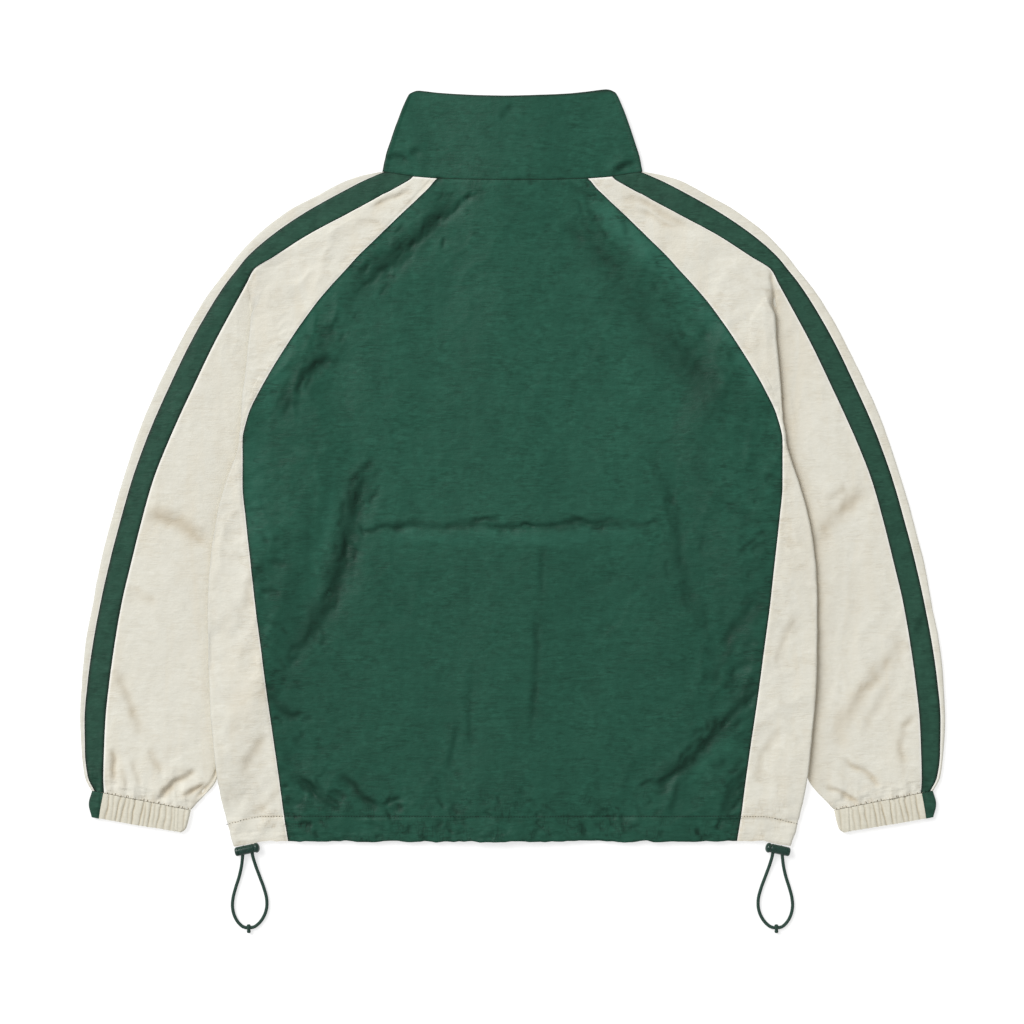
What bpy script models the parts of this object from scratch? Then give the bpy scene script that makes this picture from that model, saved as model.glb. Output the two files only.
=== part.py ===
"""Track jacket of crinkled nylon, laid flat on its front with its back up.

The frame has +X to the right as seen from above, +Y towards the collar and +Z up. Its origin is
on the surface that the jacket lies on, under the middle of the garment.

Sizes are in millimetres until mesh_object() turns them into metres. In the tables and functions,
y is the height above the hem and u is the distance from the centre line, so one table serves the
left and the right half. Each cloth piece is a wall, lofted through sections across the garment.
A section is one line of cloth: from the centre back outwards over the side or the sleeve, round
its fold, and back underneath to the front zip. Every piece is a stretch of that line.
"""

import math

import bmesh
import bpy
import numpy as np
from mathutils import Vector

MILLIMETRE = 0.001
SHARP = math.radians(50)  # edges sharper than this stay sharp when a piece is shaded

# Driving sizes of the cloth
WALL = 1.6  # cloth wall
HEM_EXTRA = 0.8  # second turn of cloth in the hem, on its inner side
PLY = 2.0  # from the middle of one pressed layer to the middle of the next
SEAM = 0.22  # from a seam line to the edge of each of its two pieces
EDGE = 0.16  # the same at a seam that runs across the sections
FLOOR = WALL / 2  # middle of a layer that lies on the surface
BODY_GAP = 5.0  # from the middle of the front to the middle of the back, at the centre
FOLD_GAP = 4.0  # the same at the body's side folds
SLEEVE_GAP = 3.4  # the same at the sleeve's outer fold
SLEEVE_CROWN = 1.4  # how far the sleeve swells between its folds
ZIP_LIFT = 3.0  # how far the front's zip edges are lifted by the slider under them
BACK_LIFT = 2.0  # how far the back is lifted over the zip
COLLAR_LIFT = 1.0  # the same again where the slider lies under the collar
CLIMB_RUN = 41.0  # the width in which the body climbs on to the tucked sleeve
CLIMB_END = 10.0  # from there to the sleeve's inner fold
HEM_CLEAR = 18.0  # the hem's second turn stops here, beside the zip

# Heights above the hem
COLLAR_TOP = 791.0
SHOULDER = 707.5  # the neck seam's end at the shoulder
NOTCH = 604.0  # where the armhole pleat begins
ARMPIT = 424.0
HEM_TURN = 30.0
HEM_EDGE = 3.5
HEM_CORNER_START = 264.0  # u where the hem starts to droop to its corner
HEM_DROOP = 0.2  # how steeply it droops
LOWEST = -2.1  # the hem's corner
MIDDLE_Y = (COLLAR_TOP + LOWEST) / 2

# Neckline: how far it lies below the shoulder. Its corners are columns of the pieces it joins.
NECK_HALF = 136.0
BACK_NECK = ((0, 9.5), (39, 9.0), (78.5, 7.4), (104, 5.4), (133.5, 0.8), (136, 0))
FRONT_NECK = (
    (0, 56),
    (16, 55),
    (42, 51),
    (68.5, 45),
    (91, 36),
    (113, 24.5),
    (133.5, 5),
    (136, 0),
)
NECK_FADE = 583.0  # below this height the sections are straight

# Sleeve, u of each line on it. The outer fold is the garment's outline.
SLEEVE_COLUMNS = ("y", "outer", "stripe_out", "stripe_in", "raglan")
SLEEVE_ROWS = (
    (707.5, 138, 134.5, 104.5, 79.5),
    (704, 157, 143, 107.5, 82.5),
    (697, 178, 158.5, 116.5, 87.5),
    (685, 201, 181.5, 134, 98.5),
    (665, 237, 217, 170, 117),
    (640, 269, 253.5, 216.5, 140.5),
    (618, 290, 278.5, 250.5, 163),
    (604, 301, 290, 272, 175.5),
    (590, 312, 301, 279.5, 188.5),
    (569, 327, 315, 291, 206.5),
    (525, 352, 340, 314.5, 237),
    (480, 374, 361.5, 336, 264),
    (450, 387, 375, 350, 278),
    (424, 396.5, 385.5, 361.5, 283.5),
    (383, 410, 400, 377.5, 283.5),
    (341, 422, 412, 389.5, 283.5),
    (299, 433, 423, 400, 283.5),
    (257, 441, 432.5, 410, 283.5),
    (215, 449, 440.5, 417.5, 283.5),
    (173, 453.5, 446.5, 423.5, 283.5),
    (131, 455.5, 450, 428, 283.5),
    (95, 453.5, 449.5, 429.5, 283.5),
    (72, 450.5, 446.5, 430, 283.5),
    (57, 443, 439.5, 429.5, 283.5),
)

# Body, u of its side fold (the notch's edge above the armpit) and of the back panel's side seam
BODY_COLUMNS = ("y", "fold", "seam")
BODY_ROWS = (
    (604, 272.5, 283.5),
    (541, 277, 283.5),
    (480, 283, 283.5),
    (424, 288, 283.5),
    (378, 302.5, 283.5),
    (345, 311.5, 280.5),
    (300, 318.5, 275.5),
    (250, 321, 270),
    (200, 320.5, 263.5),
    (150, 318.5, 257),
    (105, 314.5, 250.5),
    (66, 310, 245),
    (30, 302, 240.5),
    (0, 293, 236),
)

# Armhole pleat: how far the body has climbed on to the sleeve, how far its edge overhangs the
# fold under it, how far the sleeve is tucked under, and the run of the slope where there is no
# overhang yet
PLEAT_COLUMNS = ("y", "climb", "overhang", "tuck", "slope")
PLEAT_ROWS = (
    (604, 0.0, 0.0, 20.5, 18.0),
    (590, 0.4, 0.0, 16.0, 20.0),
    (578, 0.8, 0.0, 10.5, 13.0),
    (569, 1.0, 0.0, 8.0, 8.0),
    (557, 1.0, 5.0, 13.0, 0.0),
    (525, 1.0, 7.0, 34.0, 0.0),
    (480, 1.0, 9.0, 52.0, 0.0),
    (450, 1.0, 10.0, 68.0, 0.0),
    (424, 1.0, 10.0, 77.0, 0.0),
    (72, 1.0, 10.0, 77.0, 0.0),
    (30, 0.0, 10.0, 77.0, 0.0),
)

# Sleeve's underarm fold and underarm seam, u
UNDERARM_COLUMNS = ("y", "fold", "seam")
UNDERARM_ROWS = (
    (424, 210, 277),
    (80, 308, 313),
    (68, 311, 319),
    (54, 321, 335),
    (45, 330, 344),
    (36, 337.5, 350),
)

# Heights of the sections
UPPER_SECTIONS = (
    (707.5, 704, 697, 685, 665, 640, 618, 604, 590, 578, 569, 557, 525, 480, 450, 424)
)
BODY_SECTIONS = (424, 385, 345, 300, 250, 200, 150, 105, 72, 50, HEM_TURN, 14, 0)
# The lower sleeve's sections turn towards the cuff: height at the outer fold, fall to the inner
SLEEVE_SECTIONS = (
    (424, 0),
    (383, 0),
    (341, 0),
    (299, 0),
    (257, 0),
    (215, 1),
    (173, 3),
    (131, 8),
    (92, 15),
    (74, 18),
    (57, 20.5),
)

# Cuff rings from the sleeve to the hand: u and y at the outer fold, at the inner fold, and the
# u where the green end of the stripe meets the cream
CUFF_COLUMNS = ("outer_u", "outer_y", "inner_u", "inner_y", "stripe_u")
CUFF_ROWS = (
    (442.5, 56.5, 338.0, 36.0, 430.0),
    (446.0, 42.7, 340.5, 24.5, 432.5),
    (443.0, 29.0, 344.0, 13.0, 434.5),
)
CUFF_WALL = 2.0
CUFF_GAP = 3.6
CUFF_STRIPE_UNDER = 9.0  # how far the green end reaches under the cuff

# Collar, u of its side folds
COLLAR_COLUMNS = ("y", "fold")
COLLAR_ROWS = ((707.5, 136.5), (719, 134), (740, 128), (761, 121), (782, 113.5), (791, 109))
COLLAR_RINGS = (0.0, 0.35, 0.7, 0.93, 1.0)
COLLAR_TOP_DIP = 5.8  # the top edge's dip at the centre back
COLLAR_FRONT_DROP = 50.0  # how much lower the top edge is at the zip
COLLAR_FOLD_GAP = 4.2
COLLAR_CORNER = 5.0  # how much the top corners are rounded off

# Front zip, on the underside
PANEL_EDGE = 6.0  # from the centre line to the front's folded edge
CHAIN_WIDTH = 6.0
CHAIN_THICK = 2.3
CHAIN_BOTTOM = 3.6
TAPE_INNER = 3.4
TAPE_OUTER = 17.0
TAPE_BOTTOM = 4.9
TAPE_THICK = 0.8
ZIP_START = 6.0
SLIDER_Y = 719.0  # lower end of the slider
SLIDER_LENGTH = 13.0
SLIDER_WIDTH = 10.0
SLIDER_PLATE = 0.6
SLIDER_UNDER = 2.7  # bottom of its outer plate
SLIDER_OVER = 6.2  # bottom of its inner plate
POST_LENGTH = 4.0
POST_WIDTH = 3.2
PIVOT_Y = 727.0
PIVOT_Z = 1.45
BAR_RADIUS = 0.45
EYE_BORE = 0.65
EYE_RADIUS = 1.1
LUG_INSIDE = 2.6
LUG_THICK = 0.8
LUG_BOTTOM = 0.6
TAB_WIDTH = 4.6
TAB_END_WIDTH = 6.4
TAB_LENGTH = 24.0
TAB_THICK = 0.8
TAB_BOTTOM = 0.5
BOX_WIDTH = 8.0
BOX_LENGTH = 11.0

# Hem cord
CORD_RADIUS = 1.6
CORD_HOLE = 2.0
LOCK_U = 279.0
LOCK_Y = -5.2
LOCK_TILT = 12.0  # degrees, its inner end higher
LOCK_OUT = 13.0  # from its middle to its outer end
LOCK_IN = 7.4  # from its middle to the button
LOCK_RADIUS = 4.3
BUTTON_LENGTH = 5.0
BUTTON_RADIUS = 4.9
BUTTON_ROUND = 1.3
LOCK_Z = BUTTON_RADIUS
CORD_COLUMNS = ("u", "y", "z")
CORD_OUTER = (
    (282.6, -0.9, 4.9),
    (283.0, -6.0, 4.9),
    (283.6, -11.5, 4.7),
    (284.9, -22.0, 3.0),
    (287.6, -34.0, 1.8),
    (291.2, -45.5, 1.7),
    (294.0, -56.5, 1.7),
    (294.6, -66.0, 1.7),
    (292.4, -75.5, 1.7),
    (287.4, -83.5, 1.9),
    (283.6, -86.6, 2.2),
    (281.0, -87.4, 2.5),
)
CORD_INNER = (
    (274.0, 0.8, 4.9),
    (273.9, -5.0, 4.9),
    (273.4, -10.0, 4.7),
    (270.6, -21.0, 3.0),
    (266.0, -34.0, 1.8),
    (261.4, -46.5, 1.7),
    (258.6, -58.0, 1.7),
    (258.9, -68.0, 1.7),
    (262.6, -77.6, 1.7),
    (268.0, -84.2, 1.9),
    (271.4, -86.6, 2.2),
    (274.0, -87.4, 2.5),
)
CORD_SPACING = 7.0
KNOT_U = 277.5
KNOT_Y = -88.4
KNOT_HALF = (2.9, 4.4, 2.6)

SIDES = (("left", -1), ("right", 1))


# Smooth functions of y, from the tables


def smooth_curve(knots, values):
    """A smooth line through a table's column that never overshoots its rows."""
    order = np.argsort(knots)
    x = np.array(knots, float)[order]
    v = np.array(values, float)[order]
    steps = np.diff(v) / np.diff(x)
    slopes = np.zeros(len(x))
    product = steps[:-1] * steps[1:]
    total = np.where(product > 0, steps[:-1] + steps[1:], 1.0)
    slopes[1:-1] = np.where(product > 0, 2 * product / total, 0.0)
    slopes[0] = steps[0]
    slopes[-1] = steps[-1]

    def value(at):
        at = np.clip(np.asarray(at, float), x[0], x[-1])
        k = np.clip(np.searchsorted(x, at) - 1, 0, len(x) - 2)
        width = x[k + 1] - x[k]
        t = (at - x[k]) / width
        return (
            v[k] * (2 * t**3 - 3 * t**2 + 1)
            + slopes[k] * width * (t**3 - 2 * t**2 + t)
            + v[k + 1] * (3 * t**2 - 2 * t**3)
            + slopes[k + 1] * width * (t**3 - t**2)
        )

    return value


def table_curves(columns, rows):
    """{column: its smooth function of the first column}."""
    knots = [row[0] for row in rows]
    return {name: smooth_curve(knots, [row[i] for row in rows]) for i, name in enumerate(columns) if i}


SLEEVE = table_curves(SLEEVE_COLUMNS, SLEEVE_ROWS)
BODY = table_curves(BODY_COLUMNS, BODY_ROWS)
PLEAT = table_curves(PLEAT_COLUMNS, PLEAT_ROWS)
UNDERARM = table_curves(UNDERARM_COLUMNS, UNDERARM_ROWS)
COLLAR = table_curves(COLLAR_COLUMNS, COLLAR_ROWS)
FRONT_SEAM_BACK = 10.0  # the front's seams lie this much nearer the centre than the back's


def ease(t):
    """0 to 1, level at both ends."""
    t = np.clip(t, 0.0, 1.0)
    return t * t * (3 - 2 * t)


def back_seam(y):
    """u of the back panel's edge: the raglan seam, and below the armpit the side seam."""
    return np.where(y >= ARMPIT, SLEEVE["raglan"](y), BODY["seam"](y))


def front_seam(y):
    return back_seam(y) - FRONT_SEAM_BACK


def sleeve_inner(y):
    """u of the sleeve's inner fold, hidden under the body down to the cuff."""
    return np.where(y >= ARMPIT, BODY["fold"](y) - PLEAT["tuck"](y), UNDERARM["fold"](y))


def back_drop(u):
    """How far the back neck seam lies below the shoulder."""
    return np.interp(u, *zip(*BACK_NECK))


def front_drop(u):
    return np.interp(u, *zip(*FRONT_NECK))


def neck_share(y):
    """1 on the neck seam, 0 where the sections are straight."""
    return np.clip((y - NECK_FADE) / (SHOULDER - NECK_FADE), 0, 1)


def hem_edge(u):
    return HEM_EDGE - HEM_DROOP * np.clip(u - HEM_CORNER_START, 0, None)


# Heights of the layers, measured to the middle of the wall


def zip_lift(u):
    return ZIP_LIFT * (1 - ease((u - 16) / 26))


def under_z(u, y):
    """The body's lower layer: on the surface, and on the sleeve where that is tucked under."""
    climbed = ease((u - sleeve_inner(y) + CLIMB_END + CLIMB_RUN) / CLIMB_RUN)
    return FLOOR + 2 * PLY * PLEAT["climb"](y) * climbed + zip_lift(u)


def fold_edge(y):
    """u where the body ends and the sleeve begins in the upper layer."""
    return np.minimum(BODY["fold"](y), SLEEVE["outer"](y) - 25)


def over_z(u, y):
    """The body's upper layer."""
    edge = fold_edge(y)
    climbed = ease((u - sleeve_inner(y) + CLIMB_END + CLIMB_RUN) / CLIMB_RUN)
    gap = BODY_GAP + (FOLD_GAP - BODY_GAP) * ease((u - (edge - 70)) / 60)
    lift = BACK_LIFT + COLLAR_LIFT * ease((y - 640) / 60)
    return FLOOR + 2 * PLY * PLEAT["climb"](y) * climbed + gap + lift * (1 - ease((u - 10) / 70))


def sleeve_z(u, y):
    """The sleeve's upper layer: pressed flat under the body, swelling beyond its edge."""
    inner = np.maximum(fold_edge(y), np.where(y < ARMPIT, UNDERARM["fold"](y), 0))
    t = np.clip((u - inner) / (SLEEVE["outer"](y) - inner), 0, 1)
    climb = np.where(y > NOTCH / 2, PLEAT["climb"](y), 1.0)
    pressed = PLY + (SLEEVE_GAP - PLY) * ease((72 - y) / 30)
    flat = FOLD_GAP + (SLEEVE_GAP - FOLD_GAP) * ease(t)
    full = pressed + (SLEEVE_GAP - pressed) * ease(t) + SLEEVE_CROWN * np.sin(math.pi * t)
    return FLOOR + flat + (full - flat) * climb


# Stretches of a section. Each is a list of (u, z) in the section's own order.


def spread(start, end, shares, height, y):
    """Points from u = start to u = end, at the shares of the way, on a layer's height."""
    u = start + (end - start) * np.array(shares)
    return [(a, float(height(a, y))) for a in u]


def turn(apex, high, low, outwards, points):
    """A hairpin of cloth from one height to another, round the given side."""
    radius = (high - low) / 2
    angle = np.linspace(0, math.pi, points)
    u = apex + outwards * abs(radius) * (np.sin(angle) - 1)
    z = high - radius * (1 - np.cos(angle))
    return list(zip(u, z))


def pleat(out_apex, in_apex, heights, slope, points):
    """The armhole pleat, from its upper layer to its lower: a Z of cloth, or a slope."""
    high, middle, low = heights
    if slope > 0:
        t = np.linspace(0, 1, sum(points))
        return list(zip(out_apex - slope * (1 - t), high + (low - high) * ease(t)))
    upper = turn(out_apex, high, middle, 1, points[0])
    lower = turn(in_apex, middle, low, -1, points[1])
    return upper + lower


BACK_PLEAT_POINTS = (4, 3)
FRONT_PLEAT_POINTS = (4, 3)
PLEAT_CLEAR = 0.2
# Above the notch the pleat's columns lie flat, at these shares of their piece's width
BACK_PLEAT_ABOVE = np.linspace(0.75, 0.93, sum(BACK_PLEAT_POINTS))
FRONT_PLEAT_ABOVE = np.linspace(0.775, 0.64, sum(FRONT_PLEAT_POINTS))


def back_pleat(y):
    edge = float(BODY["fold"](y))
    if y > NOTCH:
        seam = float(back_seam(y))
        width = float(SLEEVE["stripe_in"](y)) - seam
        return spread(seam, seam + width, BACK_PLEAT_ABOVE, over_z, y)
    climb, slope = float(PLEAT["climb"](y)), float(PLEAT["slope"](y))
    high = float(over_z(edge, y))
    low = float(sleeve_z(edge, y))
    if slope > 0:
        end = edge - float(PLEAT["tuck"](y)) + slope
        return pleat(end, 0, (high, 0, low), slope, BACK_PLEAT_POINTS)
    in_apex = edge - float(PLEAT["overhang"](y)) + WALL / 2 + PLEAT_CLEAR
    heights = (high, FLOOR + 2 * PLY * climb, low)
    return pleat(edge - WALL / 2, in_apex, heights, 0, BACK_PLEAT_POINTS)


def front_pleat(y):
    """In the section's order, so from its lower layer to its upper."""
    edge = float(BODY["fold"](y))
    if y > NOTCH:
        seam = float(front_seam(y))
        return spread(seam, float(SLEEVE["outer"](y)), FRONT_PLEAT_ABOVE, under_z, y)
    tuck, slope = float(PLEAT["tuck"](y)), float(PLEAT["slope"](y))
    high = FLOOR + 2 * PLY * float(PLEAT["climb"](y))
    if slope > 0:
        end = edge - tuck - 4 + slope
        return pleat(end, 0, (high, 0, FLOOR), slope, FRONT_PLEAT_POINTS)[::-1]
    out_apex = edge - float(PLEAT["overhang"](y)) - WALL / 2 - PLEAT_CLEAR
    in_apex = edge - tuck + WALL / 2
    return pleat(out_apex, in_apex, (high, FLOOR + PLY, FLOOR), 0, FRONT_PLEAT_POINTS)[::-1]


# Sections of each piece


def upper_row(points, y, drops):
    """(u, y, z) of a section above the armpit, dipping to the neckline. drops has a point's own
    drop for each of the section's first points, and the last one serves the others."""
    share = float(neck_share(y))
    drops = list(drops) + [drops[-1]] * (len(points) - len(drops))
    return [(u, y - share * float(drop(u)), z) for (u, z), drop in zip(points, drops)]


BACK_SHARES = (0, 0.25, 0.5, 0.63, 0.75, 0.87, 1)


def back_half(y):
    return spread(0, float(back_seam(y)) - SEAM, BACK_SHARES, over_z, y)


def front_half(y):
    """From the seam to the zip, with the points that the climb on to the sleeve needs."""
    seam = float(front_seam(y)) - SEAM
    top = float(sleeve_inner(y)) - CLIMB_END
    wanted = (seam, top, top - CLIMB_RUN / 2, top - CLIMB_RUN, 42, 16, PANEL_EDGE)
    placed = [seam]
    for place, room in zip(wanted[1:], (0.92, 0.84, 0.76, 0.65, 0.3, 0)):
        placed.append(max(min(place, seam * room), PANEL_EDGE))
    return [(u, float(under_z(u, y))) for u in placed]


def sleeve_back_upper(y):
    """From the raglan seam over the pleat to the stripe."""
    folds = back_pleat(y)
    body = spread(float(back_seam(y)) + SEAM, folds[0][0], (0, 0.35, 0.7), over_z, y)
    arm = spread(folds[-1][0], float(SLEEVE["stripe_in"](y)) - SEAM, (0.35, 0.7, 1), sleeve_z, y)
    return body + folds + arm


def lower_sleeve_back(y, low):
    """The same columns as the arm stretch of the section above, from the underarm seam. y is the
    section's height at the outer fold, and low its height at the inner fold."""
    middle = (y + low) / 2
    start = float(UNDERARM["seam"](low)) + SEAM
    end = float(SLEEVE["stripe_in"](y)) - SEAM
    edge = max(float(fold_edge(middle)) + 2, start + 2)
    places = (start, edge, (edge + end) / 2, end)
    return [(u, float(sleeve_z(u, middle))) for u in places]


def outer_fold(y, middle):
    """The sleeve's front piece from the stripe round the outer fold. middle is the height that
    the layer's shape is taken at."""
    outer = float(SLEEVE["outer"](y)) - WALL / 2
    start = float(SLEEVE["stripe_out"](y)) + SEAM
    top = FLOOR + SLEEVE_GAP
    return [(start, float(sleeve_z(start, middle)))] + turn(outer, top, FLOOR, 1, 4)


def sleeve_front_upper(y):
    """From the stripe round the outer fold, under the sleeve and over the pleat to the raglan."""
    folds = front_pleat(y)
    seam = float(front_seam(y)) + SEAM
    last = folds[-1][0]
    flat = [(0.5 * (float(SLEEVE["outer"](y)) + folds[0][0]), FLOOR)]
    body = spread(last, seam, (0.5, 1), under_z, y)
    return outer_fold(y, y) + flat + folds + body


def lower_sleeve_front(y, low):
    """The same columns as far as the pleat's middle layer, which ends on the underarm seam."""
    middle = (y + low) / 2
    inner = float(UNDERARM["fold"](low)) + WALL / 2
    top = float(sleeve_z(float(UNDERARM["fold"](low)), middle))
    flat = [(0.5 * (float(SLEEVE["outer"](y)) + inner), FLOOR)]
    folds = turn(inner, FLOOR, top, -1, FRONT_PLEAT_POINTS[1])
    end = float(UNDERARM["seam"](low)) - SEAM
    return outer_fold(y, middle) + flat + folds + [(end, float(sleeve_z(end, middle)))]


def side_section(y):
    """The side panel: from the back seam round the side fold to the front seam."""
    fold = float(BODY["fold"](y))
    high, low = float(over_z(fold, y)), float(under_z(fold, y))
    folds = turn(fold - WALL / 2, high, low, 1, 4)
    upper = spread(float(back_seam(y)) + SEAM, folds[0][0], (0, 0.5), over_z, y)
    seam = float(front_seam(y)) + SEAM
    top = float(sleeve_inner(y)) - CLIMB_END
    start = folds[-1][0]
    width = start - seam
    first = min(max(top, seam + 0.6 * width), start - 0.1 * width)
    second = min(max(top - CLIMB_RUN / 2, seam + 0.3 * width), start - 0.4 * width)
    lower = [(u, float(under_z(u, y))) for u in (first, second, seam)]
    return upper + folds + lower


# Meshes


def placed(x, y, z):
    """A point in millimetres, measured from the hem, in metres from the origin."""
    return Vector((x, y - MIDDLE_Y, z)) * MILLIMETRE


def mesh_object(name, verts, faces, material, origin=None):
    """A closed solid from points in millimetres. Its origin is the garment's, or the given one."""
    place = placed(*origin) if origin else Vector()
    mesh = bpy.data.meshes.new(name)
    mesh.from_pydata([placed(*vert) - place for vert in verts], [], faces)
    shape = bmesh.new()
    shape.from_mesh(mesh)
    bmesh.ops.recalc_face_normals(shape, faces=shape.faces)
    shape.to_mesh(mesh)
    shape.free()
    mesh.shade_smooth()
    mesh.set_sharp_from_angle(angle=SHARP)
    mesh.materials.append(material)
    made = bpy.data.objects.new(name, mesh)
    made.location = place
    bpy.context.collection.objects.link(made)
    return made


def outward(section):
    """The unit normal of a section's line at each point, out of the garment."""
    u = np.array([p[0] for p in section])
    z = np.array([p[-1] for p in section])
    du = np.gradient(u)
    dz = np.gradient(z)
    du[1:-1] = u[2:] - u[:-2]
    dz[1:-1] = z[2:] - z[:-2]
    length = np.maximum(np.hypot(du, dz), 1e-9)
    return np.stack([-dz / length, du / length], axis=1)


def hem_turn(u, y):
    """The second turn of cloth on the hem's inner side."""
    return HEM_EXTRA * float(ease((abs(u) - HEM_CLEAR) / 10)) if y <= HEM_TURN else 0.0


def single(u, y):
    return 0.0


def cloth(name, sections, side, material, wall=WALL, extra=single, kept=None):
    """A wall through rows of (u, y, z). kept says how many columns, from which, each row of
    cells has; without it every row has them all. Rows may differ where kept leaves them out."""
    verts, number = [], {}
    for r, section in enumerate(sections):
        for c, ((u, y, z), (nu, nz)) in enumerate(zip(section, outward(section))):
            for face, reach in (("out", wall / 2), ("in", -wall / 2 - extra(u, y))):
                number[face, r, c] = len(verts)
                verts.append((side * (u + nu * reach), y, z + nz * reach))
    columns = max(len(s) for s in sections) - 1
    spans = kept or [(0, columns)] * (len(sections) - 1)
    cells = {(r, c) for r, (first, last) in enumerate(spans) for c in range(first, last)}
    faces = []
    for r, c in sorted(cells):
        corners = ((r, c), (r, c + 1), (r + 1, c + 1), (r + 1, c))
        faces.append([number["out", *at] for at in corners])
        faces.append([number["in", *at] for at in reversed(corners)])
        beyond = ((r - 1, c), (r, c + 1), (r + 1, c), (r, c - 1))
        for i, neighbour in enumerate(beyond):
            if neighbour not in cells:
                a, b = corners[i], corners[(i + 1) % 4]
                faces.append([number["out", *a], number["in", *a], number["in", *b], number["out", *b]])
    used = sorted({v for face in faces for v in face})
    place = {v: i for i, v in enumerate(used)}
    return mesh_object(
        name, [verts[v] for v in used], [[place[v] for v in face] for face in faces], material
    )


def box_verts(low, high):
    return [(x, y, z) for x in (low[0], high[0]) for y in (low[1], high[1]) for z in (low[2], high[2])]


BOX_FACES = [(0, 1, 3, 2), (4, 6, 7, 5), (0, 4, 5, 1), (2, 3, 7, 6), (0, 2, 6, 4), (1, 5, 7, 3)]


def block(name, low, high, material):
    return mesh_object(name, box_verts(low, high), BOX_FACES, material)


def rod(name, start, end, radius, sides, material, rounding=0.0):
    """A round bar between two points, in millimetres, with its ends' rims rounded."""
    a, b = Vector(start), Vector(end)
    along = (b - a).normalized()
    across = along.cross(Vector((0, 0, 1)))
    across = across.normalized() if across.length > 0.1 else Vector((0, 1, 0))
    third = along.cross(across)
    rings = [(0.0, radius), ((b - a).length, radius)]
    if rounding:
        length = (b - a).length
        slope = rounding * (1 - math.sqrt(0.5))
        rings = [(0.0, radius - rounding), (slope, radius - slope), (rounding, radius)]
        rings += [(length - rounding, radius), (length - slope, radius - slope)]
        rings += [(length, radius - rounding)]
    verts = []
    for distance, ring in rings:
        for k in range(sides):
            angle = 2 * math.pi * (k + 0.5) / sides
            verts.append(a + along * distance + ring * (across * math.cos(angle) + third * math.sin(angle)))
    faces = [list(range(sides)), [(len(rings) - 1) * sides + k for k in range(sides)]]
    for r in range(len(rings) - 1):
        for k in range(sides):
            low, high = r * sides, (r + 1) * sides
            faces.append([low + k, low + (k + 1) % sides, high + (k + 1) % sides, high + k])
    return mesh_object(name, verts, faces, material)


def combine(target, other, operation):
    """A Boolean of two solids, kept on the first."""
    change = target.modifiers.new(operation.lower(), "BOOLEAN")
    change.operation = operation
    change.object = other
    other.hide_render = True
    other.display_type = "WIRE"


# Materials


def make_material(name, colour, roughness, metallic=0.0):
    """colour is the sRGB colour in the photograph, from 0 to 255."""
    material = bpy.data.materials.new(name)
    material.use_nodes = True
    shader = material.node_tree.nodes["Principled BSDF"]
    linear = [((c / 255 + 0.055) / 1.055) ** 2.4 for c in colour]
    shader.inputs["Base Color"].default_value = (*linear, 1)
    shader.inputs["Roughness"].default_value = roughness
    shader.inputs["Metallic"].default_value = metallic
    return material


# Pieces


def back_panel(material):
    rows = []
    for y in UPPER_SECTIONS:
        half = upper_row(back_half(y), min(y, SHOULDER - EDGE), [back_drop])
        rows.append([(-u, y_at, z) for u, y_at, z in half[:0:-1]] + half)
    for y in BODY_SECTIONS[1:]:
        half = hem_row(back_half(y), y)
        rows.append([(-u, y_at, z) for u, y_at, z in half[:0:-1]] + half)
    cloth("back_panel", rows, 1, material, extra=hem_turn)


def hem_row(points, y):
    """A body section at y; the last one follows the hem's drooping edge."""
    return [(u, float(hem_edge(u)) if y == 0 else y, z) for u, z in points]


def front_panel(word, side, material):
    rows = [upper_row(front_half(y), min(y, SHOULDER - EDGE), [front_drop]) for y in UPPER_SECTIONS]
    rows += [hem_row(front_half(y), y) for y in BODY_SECTIONS[1:]]
    cloth(f"front_{word}", rows, side, material, extra=hem_turn)


def side_panel(word, side, material):
    rows = [hem_row(side_section(y), min(y, ARMPIT - EDGE)) for y in BODY_SECTIONS]
    cloth(f"side_panel_{word}", rows, side, material, extra=hem_turn)


def slanted(points, height, fall):
    """A lower sleeve section: it falls from the outer fold to the inner."""
    outer = float(SLEEVE["outer"](height))
    inner = float(UNDERARM["fold"](height - fall))
    return [(u, height - fall * min(1.0, (outer - u) / (outer - inner)), z) for u, z in points]


def sleeve_rows(upper, lower, drops):
    """Rows of a sleeve piece, and how many columns each of its sections has."""
    rows = []
    for y in UPPER_SECTIONS:
        height = min(max(y, ARMPIT + EDGE), SHOULDER - EDGE)
        rows.append(upper_row(upper(y), height, drops))
    for height, fall in SLEEVE_SECTIONS[1:]:
        bottom = EDGE if height == SLEEVE_SECTIONS[-1][0] else 0
        rows.append(slanted(lower(height, height - fall), height + bottom, fall))
    return rows


def sleeve_back(word, side, material):
    rows = sleeve_rows(sleeve_back_upper, lower_sleeve_back, [back_drop])
    wide, narrow = len(rows[0]) - 1, len(rows[-1]) - 1
    upper_cells = len(UPPER_SECTIONS) - 1
    lower_cells = len(SLEEVE_SECTIONS) - 1
    kept = [(0, wide)] * upper_cells + [(wide - narrow, wide)] * lower_cells
    padded = rows[: upper_cells + 1]
    padded += [[row[0]] * (wide - narrow) + row for row in rows[upper_cells + 1 :]]
    cloth(f"sleeve_back_{word}", padded, side, material, kept=kept)


def sleeve_front(word, side, material):
    rows = sleeve_rows(sleeve_front_upper, lower_sleeve_front, [back_drop] * 3 + [front_drop])
    wide, narrow = len(rows[0]) - 1, len(rows[-1]) - 1
    upper_cells = len(UPPER_SECTIONS) - 1
    lower_cells = len(SLEEVE_SECTIONS) - 1
    kept = [(0, wide)] * upper_cells + [(0, narrow)] * lower_cells
    cloth(f"sleeve_front_{word}", rows, side, material, kept=kept)


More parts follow.
